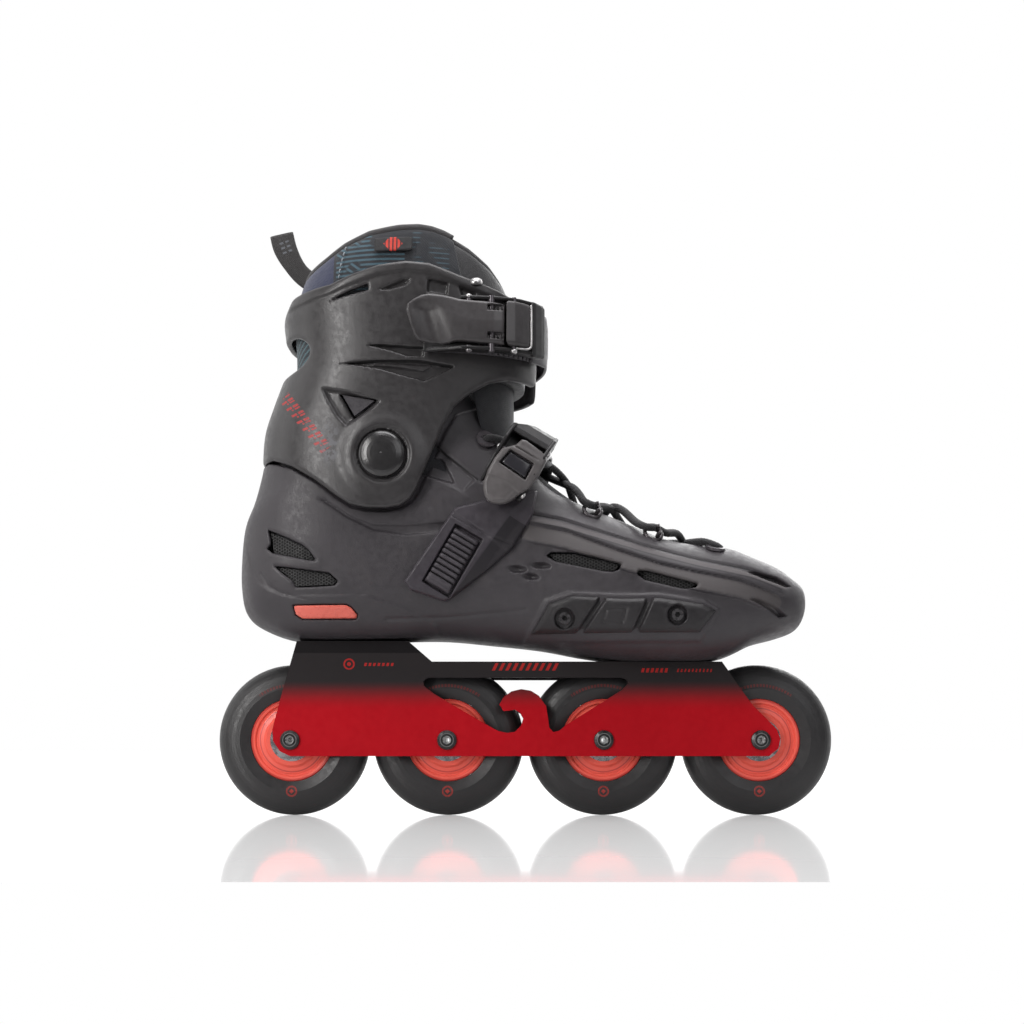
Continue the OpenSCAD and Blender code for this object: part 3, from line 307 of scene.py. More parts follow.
def boot_relief():
    """Depth of surface detail over the side view: positive cuts in, negative stands out."""
    x, z = G.x[:, :, 0], G.z[:, 0, :]
    r = np.zeros((G.n[0], G.n[2]), np.float32)
    # the upper band over the forefoot: a raised belt between two shut lines
    top = [[-4, 153.2], [18, 149.6], [57.2, 137.4], [87.2, 129.6], [112, 124.6], [133, 117.6]]
    low = [[-8, 141.6], [4, 137.6], [20, 134.4], [46, 124.4], [66, 117.8], [84.3, 113.6], [106, 109.6], [130, 101.6]]
    d, s = line_distance(top, x, z)
    r += 0.95 * np.exp(-(d / 0.9) ** 2) * step(0, 0.05, s) * (1 - step(0.93, 1, s))
    yt = np.interp(x.ravel(), [p[0] for p in top], [p[1] for p in top])[:, None]
    # raised lower edge of the side ridge and the belt under it
    on = step(-8, 2, x) * (1 - step(126, 134, x))
    b = z - yt
    yl = np.interp(x.ravel(), [p[0] for p in low], [p[1] for p in low])[:, None]
    bl = z - yl
    r -= on * 1.5 * np.clip((-0.7 - b) / 3.4, 0, 1) * step(9.2, 9.9, bl)
    on = step(-6, 6, x) * (1 - step(118, 134, x))
    r -= on * 2.0 * np.clip((9.0 - bl) / 8.4, 0, 1) * step(-0.9, 0.1, bl)
    r += on * 0.5 * np.exp(-((bl - 9.5) / 0.7) ** 2)
    # heel skin: a raised counter with a soft curved edge
    skin = [[-160, 86], [-160, 153], [-147, 150.8], [-144.6, 147], [-143, 138], [-140, 128], [-136, 120], [-129, 115.2],
            [-119, 112.4], [-80, 112.4], [-60, 106], [-45, 98], [-40, 86]]
    d = poly_distance(skin, x, z)
    r -= 0.55 * (1 - step(-1.0, 0.4, d))
    d, s = line_distance([[-134, 124], [-130.2, 117.7], [-124, 114], [-117.8, 112], [-106.4, 109.6]], x, z)
    r += 0.5 * np.exp(-(d / 0.6) ** 2) * (1 - step(0.8, 1, s))
    # sunk triangle and facet behind the instep strap
    d = poly_distance([[-47.4, 189.0], [-25.4, 169.8], [-31.2, 162.9], [-56, 173.6]], x, z)
    r += 2.3 * np.clip(((x + 50.7) * 0.415 + (z - 171.6) * 0.91) / 10, 0, 1) * (1 - step(-0.5, 0.3, d))
    d = poly_distance([[-54, 172.4], [-49.6, 181.6], [-41.6, 180.6], [-38.6, 175], [-34.8, 167.2], [-43, 169.4]], x, z)
    r += 2.2 * (1 - step(-1.0, 0.3, d))
    d, s = line_distance([[-46.4, 189.2], [-40, 182.6], [-31, 175.4], [-22, 168.6]], x, z)
    r += 1.0 * np.exp(-(d / 0.75) ** 2)
    d, s = line_distance([[-56, 172.8], [-46, 169.4], [-36, 164.6], [-29, 160.6]], x, z)
    r -= 0.5 * np.exp(-(d / 0.8) ** 2)
    # flowing groove from under the cuff to the instep arm
    d = poly_distance([[-100, 160], [-88, 152], [-76, 147.2], [-60, 146.8], [-38, 148.4], [-38, 143.4], [-60, 141.6], [-76, 144.0], [-90, 151], [-104, 160.6]], x, z)
    r += 1.5 * (1 - step(-1.2, 0.5, d))
    # two slanted scoops low on the quarter
    for cx, cz, a, b, t in ((-4.5, 124.6, 5.4, 1.9, -6), (7.2, 126.2, 5.6, 1.7, -4), (2.4, 120.8, 4.6, 1.8, -6)):
        c, q = math.cos(math.radians(t)), math.sin(math.radians(t))
        u, w = (x - cx) * c + (z - cz) * q, -(x - cx) * q + (z - cz) * c
        e = (u / a) ** 2 + (w / b) ** 2
        r += 3.4 * np.clip(1 - e, 0, 1) ** 0.7 * step(-1.3, 0.9, u / a + 0.5)
    # toe scoops
    for v in TOE_VENTS:
        d = poly_distance(v, x, z)
        r += 3.4 * (1 - step(-1.5, 0.2, d))
    # shoulder above the side slider
    d = poly_distance([[-2, 88], [1, 94], [9.6, 109.4], [22, 113.2], [47, 111.8], [66, 112], [89, 108.6], [96.5, 104.4], [87, 88]], x, z)
    r -= 1.1 * (1 - step(-1.4, 0.6, d))
    # welt above the sole
    d, s = line_distance([[-70, 100.6], [-40, 101.4], [-14, 103.4], [0, 104.6]], x, z)
    r += 0.5 * np.exp(-(d / 0.8) ** 2)
    return r[:, None, :]


BR = boot_relief() * step(15, 24, AY)
# the ledge that the cuff's lower edge stands over
LEDGE = [[-170, 181.6], [-136, 181.4], [-130, 180.8], [-117.4, 176.2], [-105.2, 168.6], [-94.3, 160.1], [-87.2, 155.5], [-79, 153.7],
         [-69, 153.5], [-61.6, 154.7], [-56.0, 158.3], [-52.2, 164.2], [-46.6, 177.7], [-39.8, 193.9], [-34.4, 203.3], [-22, 209], [-20, 240], [-170, 240]]
dl = G.poly(LEDGE)
sunk = (1.7 + 3.4 * step(-100, -118, X)) * (1 - step(-1.1, 0.5, dl))
d = dA + BR + sunk
# wall
thick = 3.2 + 4.0 * (1 - step(98, 106, Z)) + np.clip(BR, 0, 2.2) + sunk
d = smax(d, -(dA + thick), 1.2)
# lacing gap
gap = G.poly([[-90, -23.4], [8, -22.8], [40, -18.8], [72, -13.8], [83, -9.6], [87.4, -5], [88.4, 0], [87.4, 5], [83, 9.6],
              [72, 13.8], [40, 18.8], [8, 22.8], [-90, 23.4]], "xy")
d = smax(d, -np.maximum(gap, 128 - Z), 1.6)
# top edge inside the cuff
d = np.maximum(d, (Z - 197.0) - (X + 134) * 0.24)
for v in VENTS:
    pv = G.poly(v)
    d = smax(d, -np.maximum(pv - 0.1, 24 - AY), 1.2)
# flat seats on the frame
d = np.maximum(d, np.where(X > 0, 80.05, 90.65) - Z - 40 * step(-60, -52, X) * (1 - step(30, 38, X)) - 40 * step(101, 106, X) - 40 * (1 - step(-124, -118, X)))
# pivot and mounting bores
d = np.maximum(d, 4.6 - np.sqrt((X - PIV[0]) ** 2 + (Z - PIV[1]) ** 2))
for bx in (-82.5, 82.5):
    d = np.maximum(d, 6.4 - np.sqrt((X - bx) ** 2 + Y ** 2 + 0 * Z))
# reflector pocket
REFL = [[-117.3, 107.6], [-90, 107.6], [-87.4, 106.2], [-84.6, 102.6], [-85.6, 100.8], [-113, 100.8], [-116.4, 103]]
pr = G.poly(REFL)
d = smax(d, -np.maximum(pr - 0.25, -(dA + 1.0)), 0.6)
shell = G.mesh("boot_shell_visual", d, smooth=1)

# reflectors, conforming to the heel
dr = smax(smax(np.abs(dA + 0.15) - 1.1, pr + 0.15, 0.8), 15 - AY, 0.4)
refl = G.mesh("heel_reflector_visual", dr, smooth=1)

# ------------------------------------------------------------------ side slider and instep arm, conforming plates
SL = [[2.6, 92.6], [11.6, 107.6], [22.4, 111.1], [46.5, 109.4], [65.7, 109.6], [87.9, 106.6], [93.9, 103.6], [85.9, 92.6]]
ps = G.poly(SL)
xx, zz = G.x, G.z
face = dA - 3.6
relief = np.zeros((G.n[0], 1, G.n[2]), np.float32)
for g in ([[37.6, 108.6], [25.0, 90.0]], [[61.2, 109.0], [53.0, 90.0]]):
    gd, _ = line_distance(g, xx, zz)
    relief = relief + 2.3 * (1 - step(0.7, 2.0, gd))
for cx, cz in ((19.4, 99.6), (74.6, 101.0)):
    rr = np.sqrt((xx - cx) ** 2 + (zz - cz) ** 2)
    relief = relief + 2.0 * (1 - step(4.3, 5.0, rr)) - 0.35 * np.exp(-((rr - 5.6) / 0.6) ** 2)
sh = poly_distance([[39.5, 104.6], [50.5, 104.6], [48.4, 97.0], [37.4, 97.0]], xx, zz)
relief = relief + 0.8 * np.exp(-((sh + 0.6) / 0.45) ** 2)
relief = relief + 1.6 * step(-3.4, 0.2, ps) ** 1.5
dsl = smax(smax(np.maximum(face + relief, -(dA - 0.05) * 1.0), ps, 1.0), 20 - AY, 0.4)
slider = G.mesh("side_slider_visual", dsl, smooth=1)

TH = math.radians(59.4)


def uw(x, z):
    return (x + 37) * math.cos(TH) + (z - 112) * math.sin(TH), -(x + 37) * math.sin(TH) + (z - 112) * math.cos(TH)


ARM = [[-4.6, 1], [-2.4, -0.6], [8, -5.2], [18.5, -9.4], [35.2, -15], [54.3, -15.2], [67, -10.4], [58, 0], [46, 11.8], [37.7, 20.2], [-6.4, 23.4], [-8.4, 18.8]]
uu, ww = uw(xx, zz)
GA = Field((-63, -56, 104), (6, -22, 190), 0.42)
dB = GA.mesh_distance(BP, BT, band=16)
xx, zz = GA.x, GA.z
uu, ww = uw(xx, zz)
pa = poly_distance(ARM, uu, ww)
rel = 3.4 * (1 - step(-0.1, 0.4, poly_distance([[-1.6, 0.2], [30.9, 0.2], [30.9, 15.4], [-1.6, 15.4]], uu, ww)))
rel = rel + 1.3 * step(-1.2, 0.2, pa)
# the plate folds down along its forward edge, and steps up where the housing begins
fold = -(ww + 0.9) - 0.10 * (uu - 6)
rel = rel + 0.42 * np.clip(fold, 0, 5.5) * (1 - step(48, 58, uu))
gd, _ = line_distance([[33.4, 22.5], [34.2, -1.5], [37.4, -16]], uu, ww)
rel = rel + 0.7 * np.exp(-(gd / 0.5) ** 2) - 0.8 * step(34.2, 35.4, uu - 0.1 * (ww - 8))
lat = GA.y + 18
arm = smax(smax(np.maximum(dB - 4.4 + rel, 0.05 - dB), pa, 0.7), lat, 0.4)
arm_o = GA.mesh("instep_arm_visual", arm, smooth=1)
# ribbed ladder tail in the arm's channel
pl = poly_distance([[-0.6, 1.2], [29.4, 1.2], [29.4, 14.8], [-0.6, 14.8]], uu, ww)
ph = np.abs(((uu - 4.6) / 2.76) % 1.0 - 0.5) * 2.76
rib = 1.7 * np.exp(-((1.38 - ph) / 0.42) ** 2) * step(3.6, 4.2, uu) * (1 - step(28.6, 29.2, uu)) + 0.35 * (ph / 1.38) ** 2
lad = smax(smax(np.maximum(dB - 5.3 + rib + 1.1 * step(-1.2, 0.2, pl), 0.8 - dB), pl, 0.6), lat, 0.4)
lad_o = GA.mesh("instep_ladder_tail", lad, smooth=1)

# ------------------------------------------------------------------ cuff
H = Field((-141, -56, 148), (16, 56, 282), VOX)
CP, CT = loft_arrays(oval_rings(CUFF))
dC = H.mesh_distance(CP, CT, band=14)
x, y, z = H.x, H.y, H.z
ay = np.abs(y)
side = H.poly(CUFF_SIDE)
r = np.zeros((H.n[0], 1, H.n[2]), np.float32)
# pivot boss and dished ring
pr_ = np.sqrt((x - PIV[0]) ** 2 + (z - PIV[1]) ** 2)
boss = 1.6 * (1 - step(15.0, 23.5, pr_))
r = r - boss
r = r + 1.1 * np.exp(-((pr_ - 13.1) / 0.9) ** 2)
# long blade-shaped cut under the buckle
d1 = poly_distance([[-92.4, 226.2], [-72, 227.0], [-52, 226.8], [-34.1, 224.2], [-41, 220.8], [-49.9, 216.7], [-60, 219.2], [-72, 222.6]], x, z)
r = r + 3.4 * (1 - step(-0.8, 0.1, d1))
d1b = poly_distance([[-88, 225.6], [-66, 225.8], [-46, 224.6], [-50.4, 221.6], [-66, 223.8]], x, z)
r = r - 1.5 * (1 - step(-0.8, 0.4, d1b))
# second, shorter cut where the strap starts
d2 = poly_distance([[-78.6, 234.4], [-70, 234.6], [-58, 233.6], [-50, 233.2], [-50, 228.4], [-58, 228.6], [-66, 231.2]], x, z)
r = r + 3.0 * (1 - step(-0.8, 0.1, d2))
# triangular window with its recess
d3 = poly_distance([[-102.0, 215.4], [-89.4, 212.8], [-71.0, 207.2], [-76.0, 202.4], [-88.6, 194.4], [-93.4, 199.6], [-98.6, 208.4]], x, z)
r = r + 2.2 * (1 - step(-2.0, 0.2, d3))
# slot and notches under the top edge
d4 = poly_distance([[-97.0, 257.2], [-88, 261.0], [-77.4, 264.4], [-77.4, 261.2], [-88, 259.2]], x, z)
d5 = poly_distance([[-74.0, 260.6], [-60, 266.4], [-56.0, 266.6], [-59, 263.0], [-66, 261.0]], x, z)
r = r + 2.2 * (1 - step(-1.2, 0.2, d5))
for q in ([[-48.0, 266.6], [-37.8, 264.6], [-38.6, 258.4], [-48.4, 259.8]], [[-33.0, 263.4], [-24, 260.6], [-26, 256.6], [-31.0, 257.8]]):
    r = r + 2.0 * (1 - step(-0.8, 0.2, poly_distance(q, x, z)))
# raised lip round the top
lipz = np.interp(x.ravel(), [-125, -112, -97, -87, -72, -58.8, -47, -32, -12.6, -2, 8], [262, 263, 265.6, 269.2, 273.6, 275.3, 274.2, 268.8, 262.8, 259, 258])[:, None, None]
b = lipz - z
r = r - 1.0 * (1 - step(4.0, 6.0, b))
d = dC + r * step(20, 30, ay)
inner = -(dC + 3.2 + np.clip(r * step(20, 30, ay), 0, 1.8))
d = smax(d, inner, 1.4)
d = smax(d, side, 2.0)
d = smax(d, -np.maximum(d4, 30 - ay), 0.8)
# front opening and rear opening
d = smax(d, -np.maximum(ay - 17 + 0 * z, -(x + 30)), 2.0)
hole = (np.sqrt(((x + 125.5) / 17.5) ** 2 + ((z - 234.8) / 10.0) ** 2) - 1) * 10.0
d = smax(d, -hole, 1.2)
d = np.maximum(d, 6.4 - pr_)
d = smax(d, -np.maximum(pr_ - 12.35, 46.5 - ay), 0.5)
tri = poly_distance([[-92.2, 211.2], [-73.2, 207.6], [-84.9, 198.4]], x, z)
d = smax(d, -np.maximum(tri, 38 - ay), 0.7)
cuff = H.mesh("cuff_visual", d, smooth=1)

# ------------------------------------------------------------------ mesh helpers
def new_mesh(name, pts, faces):
    me = bpy.data.meshes.new(name)
    me.from_pydata([tuple(float(c) * MM for c in p) for p in pts], [], faces)
    me.update()
    me.shade_smooth()
    o = bpy.data.objects.new(name, me)
    bpy.context.scene.collection.objects.link(o)
    bm = bmesh.new()
    bm.from_mesh(me)
    bmesh.ops.recalc_face_normals(bm, faces=bm.faces)
    bm.to_mesh(me)
    bm.free()
    return o


def loft(name, loops, closed=False):
    """Quads between closed loops of points, with end caps unless the row of loops closes on itself."""
    n, m = len(loops[0]), len(loops)
    P = [p for L in loops for p in L]
    F = []
    for i in range(m if closed else m - 1):
        a, b = i * n, ((i + 1) % m) * n
        for j in range(n):
            k = (j + 1) % n
            F.append((a + j, a + k, b + k, b + j))
    if not closed:
        F.append(tuple(range(n)))
        F.append(tuple((m - 1) * n + j for j in reversed(range(n))))
    return new_mesh(name, P, F)


def smooth_path(pts, step_mm):
    R = catmull(np.array(pts, float), 12)
    seg = np.linalg.norm(np.diff(R, axis=0), axis=1)
    acc = np.concatenate([[0], np.cumsum(seg)])
    k = max(4, int(acc[-1] / step_mm))
    t = np.linspace(0, acc[-1], k)
    return np.stack([np.interp(t, acc, R[:, c]) for c in range(3)], 1)


def rope(name, pts, r, step_mm=0.7, n=14, flat=1.0, ripple=0.0, pitch=2.2):
    """A cord along points. flat squeezes it; ripple gives the bumps of the braid."""
    P = smooth_path(pts, step_mm)
    T = np.gradient(P, axis=0)
    T /= np.linalg.norm(T, axis=1)[:, None]
    up = np.array([0, 0, 1.0])
    N = up - T[0] * (up @ T[0])
    N /= np.linalg.norm(N)
    loops, run = [], 0.0
    for i, p in enumerate(P):
        N = N - T[i] * (N @ T[i])
        N /= np.linalg.norm(N)
        Bv = np.cross(T[i], N)
        run = i * step_mm
        L = []
        for j in range(n):
            a = 2 * math.pi * j / n
            rr = r * (1 + ripple * math.sin(2 * math.pi * run / pitch + 2 * a) * math.cos(2 * math.pi * run / pitch - 2 * a))
            L.append(p + (Bv * math.cos(a) + N * math.sin(a) * flat) * rr)
        loops.append(L)
    return loft(name, loops)


def strip(name, stations, up=(0, 0, 1), n=36, e=5.0):
    """A strap: stations are (point, outward normal, half height, half thickness, height shift)."""
    loops = []
    for p, nrm, hh, ht, dz in stations:
        L = []
        for j in range(n):
            a = 2 * math.pi * j / n
            c, s_ = math.cos(a), math.sin(a)
            L.append(np.array(p) + np.array(nrm) * ht * float(pw(np.float64(c), e)) + np.array(up) * (dz + hh * float(pw(np.float64(s_), e))))
        loops.append(L)
    return loft(name, loops)


def join(name, *obs):
    bpy.ops.object.select_all(action="DESELECT")
    for o in obs:
        o.select_set(True)
    bpy.context.view_layer.objects.active = obs[0]
    if len(obs) > 1:
        bpy.ops.object.join()
    obs[0].name = name
    return obs[0]


def modify(o, kind, **kw):
    m = o.modifiers.new(kind.lower(), kind)
    for k, v in kw.items():
        setattr(m, k, v)
    return m


def apply_all(o):
    bpy.context.view_layer.update()
    dg = bpy.context.evaluated_depsgraph_get()
    me = bpy.data.meshes.new_from_object(o.evaluated_get(dg))
    o.modifiers.clear()
    o.data = me
    me.shade_smooth()


def stud(name, centre, normal, profile, n=32):
    """A small turned part: profile of (radius, height) about the normal."""
    nv = Vector(normal).normalized()
    q = nv.to_track_quat("Z", "Y")
    loops = []
    for r, h in profile:
        L = []
        for j in range(n):
            a = 2 * math.pi * j / n
            v = q @ Vector((r * math.cos(a), r * math.sin(a), h))
            L.append((centre[0] + v.x, centre[1] + v.y, centre[2] + v.z))
        loops.append(L)
    return loft(name, loops)


def puff(o, pins, pressure, cap, frames=20, mass=0.3, tension=12):
    """Pads a closed fabric form: it swells between its seams, and no point moves further than cap (mm)."""
    n = len(o.data.vertices)
    rest = np.empty(n * 3)
    o.data.vertices.foreach_get("co", rest)
    rest = rest.reshape(n, 3)
    g = o.vertex_groups.new(name="pin")
    for i, w in pins.items():
        g.add([int(i)], float(w), "REPLACE")
    m = o.modifiers.new("cloth", "CLOTH")
    s = m.settings
    s.quality = 5
    s.mass = mass
    s.tension_stiffness = tension
    s.compression_stiffness = tension
    s.shear_stiffness = 4
    s.bending_stiffness = 0.4
    s.use_pressure = True
    s.uniform_pressure_force = pressure
    s.vertex_group_mass = "pin"
    s.effector_weights.gravity = 0
    m.collision_settings.use_collision = False
    m.point_cache.frame_start = 1
    m.point_cache.frame_end = frames
    sc = bpy.context.scene
    sc.frame_start, sc.frame_end = 1, frames
    for f in range(1, frames + 1):
        sc.frame_set(f)
    dg = bpy.context.evaluated_depsgraph_get()
    ev = o.evaluated_get(dg)
    co = np.empty(n * 3)
    ev.data.vertices.foreach_get("co", co)
    co = co.reshape(n, 3)
    o.modifiers.clear()
    sc.frame_set(1)
    mv = co - rest
    L = np.linalg.norm(mv, axis=1)[:, None]
    bad = ~np.isfinite(L) | (L > 0.05)
    mv = np.where(bad, 0, mv)
    k = cap * MM
    out = rest + mv * np.where(L > 1e-9, np.minimum(1, k * np.tanh(L / k) / np.maximum(L, 1e-9)), 1)
    o.data.vertices.foreach_set("co", out.ravel())
    o.data.update()
    o.vertex_groups.clear()
    return float(np.nanmax(np.where(bad, 0, L)) * 1000)


def box_sdf(x, y, z, c, h, r):
    """Rounded box."""
    qx, qy, qz = np.abs(x - c[0]) - h[0] + r, np.abs(y - c[1]) - h[1] + r, np.abs(z - c[2]) - h[2] + r
    return np.sqrt(np.maximum(qx, 0) ** 2 + np.maximum(qy, 0) ** 2 + np.maximum(qz, 0) ** 2) + np.minimum(np.maximum(qx, np.maximum(qy, qz)), 0) - r


def rod_sdf(u, w, t, c, r, t0, t1):
    """Rod along the third axis."""
    return np.maximum(np.sqrt((u - c[0]) ** 2 + (w - c[1]) ** 2) - r, np.maximum(t0 - t, t - t1))


# ------------------------------------------------------------------ cuff buckle
FV = 0.36
B1 = Field((-63, -64, 224), (15, -38, 260), FV)
x, z, s = B1.x, B1.z, -B1.y
LEV = [[-54.6, 253.4], [-57.4, 251.2], [-57.9, 248.1], [-56.4, 243.1], [-54.2, 236.9], [-52.3, 234.4], [-48.3, 233.7],
       [-44.6, 232.8], [-40.9, 232.4], [-37.2, 232.8], [-33.4, 233.7], [-19.7, 232.6], [-10.3, 232.0], [-9.9, 251.6],
       [-19.7, 252.9], [-32.2, 254.0], [-35.9, 255.0], [-40.9, 256.0], [-47, 256.5], [-50.8, 255.8]]
pl = poly_distance(LEV, x, z)
zr = np.interp(x.ravel(), [-58, -50, -43, -36, -28, -18, -9], [252, 253, 250.6, 246.4, 243.6, 243.0, 243.8])[:, None, None]
b = z - zr
top = 60.5 - 0.10 * np.maximum(b, 0) - 0.085 * np.maximum(-b, 0) - 0.006 * np.maximum(-b, 0) ** 2
top = top - 2.3 * np.exp(-((x + 45.5 + 0.35 * (z - 241)) / 5.2) ** 2) * (1 - step(248, 254, z)) + 0.9 * step(-50, -57.5, x)
top = top - 1.6 * step(-16, -9.6, x)
under = np.where(x < -33, top - 3.4, 54.8 + 0 * x)
d = smax(np.maximum(s - top, under - s), pl, 1.9)
for z0, z1 in ((248.2, 251.2), (234.6, 237.8)):
    q = poly_distance([[-18.4, z0], [-10.6, z0], [-10.6, z1], [-18.4, z1]], x, z)
    comb = 1.7 * (np.cos((x + 18) * 2 * math.pi / 1.9) > 0.1) * (z < (z0 + z1) / 2 + 0.4)
    d = smax(d, -np.maximum(q, 56.8 + comb - s), 0.4)
hub_ = np.sqrt((x + 16.5) ** 2 + (s - 56.5) ** 2)
d = smax(d, np.where(x > -16.5, hub_ - 6.6, -9.0), 0.8)
lever = B1.mesh("cuff_lever_visual", d, smooth=1)

# release block, following the turn of the strap
OUT = [[-9.2, 58.2], [-5, 56.6], [-1.4, 54.2], [1.2, 51.8], [2.9, 49.8], [1.6, 47.2], [-2.6, 50.2], [-9.2, 53.4]]
q = poly_distance(OUT, x, s)
d = smax(smax(q, np.abs(z - 242.9) - 11.0, 2.4), -(np.sqrt((x + 5.6) ** 2 + (s - 53.2) ** 2) - 1.3), 0.2)
d = smax(d, -(0.55 - 0.5 * np.exp(-(poly_distance([[-7.4, 234.4], [1.0, 234.4], [1.0, 251.4], [-7.4, 251.4]], x, z) / 0.4) ** 2) + 60 - s), 0.3)
rel_o = B1.mesh("cuff_release_visual", d, smooth=1)

# base: cheeks above and below, a floor and the front guide
CH = [[-51, 54.2], [-36, 53.4], [-12, 51.0], [-4, 47.2], [6.0, 38.8], [8.8, 41.6], [3.6, 47.8], [-2, 52.6], [-8, 55.6], [-14, 57.4], [-24, 58.6], [-31, 59.4], [-38, 57.4], [-46, 55.4]]
q = poly_distance(CH, x, s)
lo_ = smax(q, np.abs(z - 230.3) - 0.95, 0.7)
q2 = poly_distance([[-31.6, 55.4], [-12, 51.0], [-4, 47.2], [6.0, 38.8], [8.8, 41.6], [3.6, 47.8], [-2, 52.6], [-8, 55.6], [-14, 57.4], [-24, 58.6], [-31.6, 58.8]], x, s)
hi_ = smax(q2, np.abs(z - 254.9) - 0.85, 0.7)
d = np.minimum(lo_, hi_)
fl = poly_distance([[-50, 54.0], [-36, 54.2], [-12, 51.4], [-4.2, 48.0], [6.2, 39.4], [7.2, 40.8], [-2.6, 49.8], [-12, 53.0], [-36, 55.0], [-50, 54.8]], x, s)
d = np.minimum(d, smax(smax(fl, np.abs(z - 242.6) - 12.6, 0.4), 7.0 - hub_, 0.3))
gd = poly_distance([[3.4, 49.2], [5.2, 47.4], [8.0, 43.6], [9.7, 40.6], [7.6, 39.4], [5.2, 42.6], [2.2, 46.6]], x, s)
d = smin(d, smax(gd, np.abs(z - 242.3) - 13.6 + 0.6 * step(4, 10, x), 1.6), 0.3)
base = B1.mesh("cuff_buckle_base_visual", d, smooth=1)
edge = rope("cuff_pawl_plate", [(-4.5, -54.8, 230.9), (0.2, -52.6, 231.0), (2.4, -51.0, 232.2), (3.0, -50.6, 235), (3.0, -50.6, 243), (3.0, -50.6, 250), (2.8, -50.8, 253.2)], 0.5, n=10)
dome = [(0.01, 1.0), (0.7, 0.93), (1.25, 0.6), (1.6, 0.1), (1.6, -0.9), (0.01, -0.9)]
bits = [stud("s1", (-27.6, -57.2, 255.8), (0, 0, 1), dome), stud("s2", (-27.6, -57.2, 229.3), (0, 0, -1), dome),
        stud("s3", (-5.6, -54.2, 229.3), (0, 0, -1), dome), stud("s4", (-16.5, -56.5, 229.3), (0, 0, -1), [(0.01, 0.6), (0.7, 0.5), (1.0, 0), (1.0, -0.8), (0.01, -0.8)]),
        stud("s5", (-16.5, -56.5, 255.8), (0, 0, 1), [(0.01, 0.4), (0.6, 0.3), (0.8, 0), (0.8, -0.8), (0.01, -0.8)])]
pins = join("cuff_pin_heads", edge, *bits)
rib = [stud("r%d" % i, (xx_, -yy_, 266.2), (-0.1, -0.5, 1), [(0.01, 1.7), (1.6, 1.5), (2.9, 0.6), (3.2, -0.2), (3.2, -1.4), (0.01, -1.4)]) for i, (xx_, yy_) in enumerate(((-24.6, 47.0),))]
studs = join("cuff_rivet_heads", *rib)


def band_pt(a, h=68.9, w=52.55, e=2.5, cx=-58.4):
    px, py = cx + h * float(pw(np.float64(math.cos(a)), e)), w * float(pw(np.float64(math.sin(a)), e))
    return px, py


def band_stations(a0, a1, k, ht, hh, dz, h=68.9, w=52.55):
    out = []
    pts = [band_pt(a0 + (a1 - a0) * i / k, h, w) for i in range(k + 1)]
    seg = [math.dist(pts[i], pts[i + 1]) for i in range(k)]
    acc = np.concatenate([[0], np.cumsum(seg)])
    t = np.linspace(0, acc[-1], k)
    X_ = np.interp(t, acc, [p[0] for p in pts])
    Y_ = np.interp(t, acc, [p[1] for p in pts])
    for i in range(k):
        j0, j1 = max(i - 1, 0), min(i + 1, k - 1)
        tx, ty = X_[j1] - X_[j0], Y_[j1] - Y_[j0]
        L = math.hypot(tx, ty)
        nx, ny = ty / L, -tx / L
        if nx * (X_[i] + 58.4) + ny * Y_[i] < 0:
            nx, ny = -nx, -ny
        f = i / (k - 1)
        out.append(((X_[i], Y_[i], 0), (nx, ny, 0), hh(f), ht, dz(f)))
    return out


ease = lambda f, a, b: float(step(a, b, np.float64(f)))
ladder = strip("cuff_strap", band_stations(-1.50, 1.22, 150, 1.15, lambda f: (10.6 + 1.2 * (1 - ease(f, 0.25, 0.5))) * (1 - 0.5 * ease(f, 0.97, 1.0)) ** 0.5, lambda f: 241.6 + 4.4 * ease(f, 0.30, 0.56) - 4.4 * ease(f, 0.66, 0.98)))
teeth = []
for i in range(17):
    a = -1.46 + i * 0.052
    (px, py) = band_pt(a, 70.4, 54.0)
    (qx, qy) = band_pt(a + 0.02, 70.4, 54.0)
    tx, ty = qx - px, qy - py
    L = math.hypot(tx, ty) + 1e-9
    teeth.append(strip("t%d" % i, [((px + tx / L * o_, py + ty / L * o_, 0), (ty / L, -tx / L, 0), 10.3, 0.9, 240.0) for o_ in (-0.75, -0.45, 0, 0.3, 0.75)], n=20, e=4))
cover = strip("cuff_strap_end", band_stations(-0.60, -0.285, 30, 1.5, lambda f: 13.0 * (1 - ease(f, 0.9, 1.0) * 0.25), lambda f: 242.2 + 1.2 * f, h=70.9, w=54.4))
ladder_o = join("cuff_ladder_visual", ladder, cover, *teeth)

# ------------------------------------------------------------------ instep buckle
B2 = Field((-27, -61, 145), (23, -37, 196), FV)
x, z, s = B2.x, B2.z, -B2.y
u, w = uw(x, z)
IL = [[-6.9, 183.1], [-4.6, 183.8], [-1.8, 186.4], [0.2, 186.0], [10.2, 178.7], [10.4, 175.9], [6.8, 169.1], [1.6, 162.2], [-3.5, 159.2],
      [-6.6, 156.7], [-9.4, 155.3], [-12.1, 154.9], [-15.6, 155.2], [-18.3, 156.3], [-19.8, 158.6], [-20.6, 162], [-20.6, 165.7], [-18.3, 171.8], [-14.9, 178], [-11.4, 182.1]]
pl = poly_distance(IL, x, z)
top = 57.5 - 0.010 * (w - 4.4) ** 2 - 0.05 * np.maximum(62 - u, 0) - 1.1 * step(75.5, 80.5, u)
brow, _ = line_distance([[-18.6, 171.4], [-13.4, 168.2], [-7.0, 164.0], [-1.6, 160.2]], x, z)
tip = (1 - step(59.2, 60.6, u + 0.05 * (w - 4) ** 2 * 0.35))
top = top - 0.75 * tip + 0.25 * np.exp(-((poly_distance([[-19.2, 165.2], [-17.4, 169.8], [-4.6, 161.4], [-9, 156.8], [-15.6, 156.9], [-18.6, 160]], x, z)) / 0.7) ** 2)
d = smax(np.maximum(s - top, 51.2 - s), pl, 1.8)
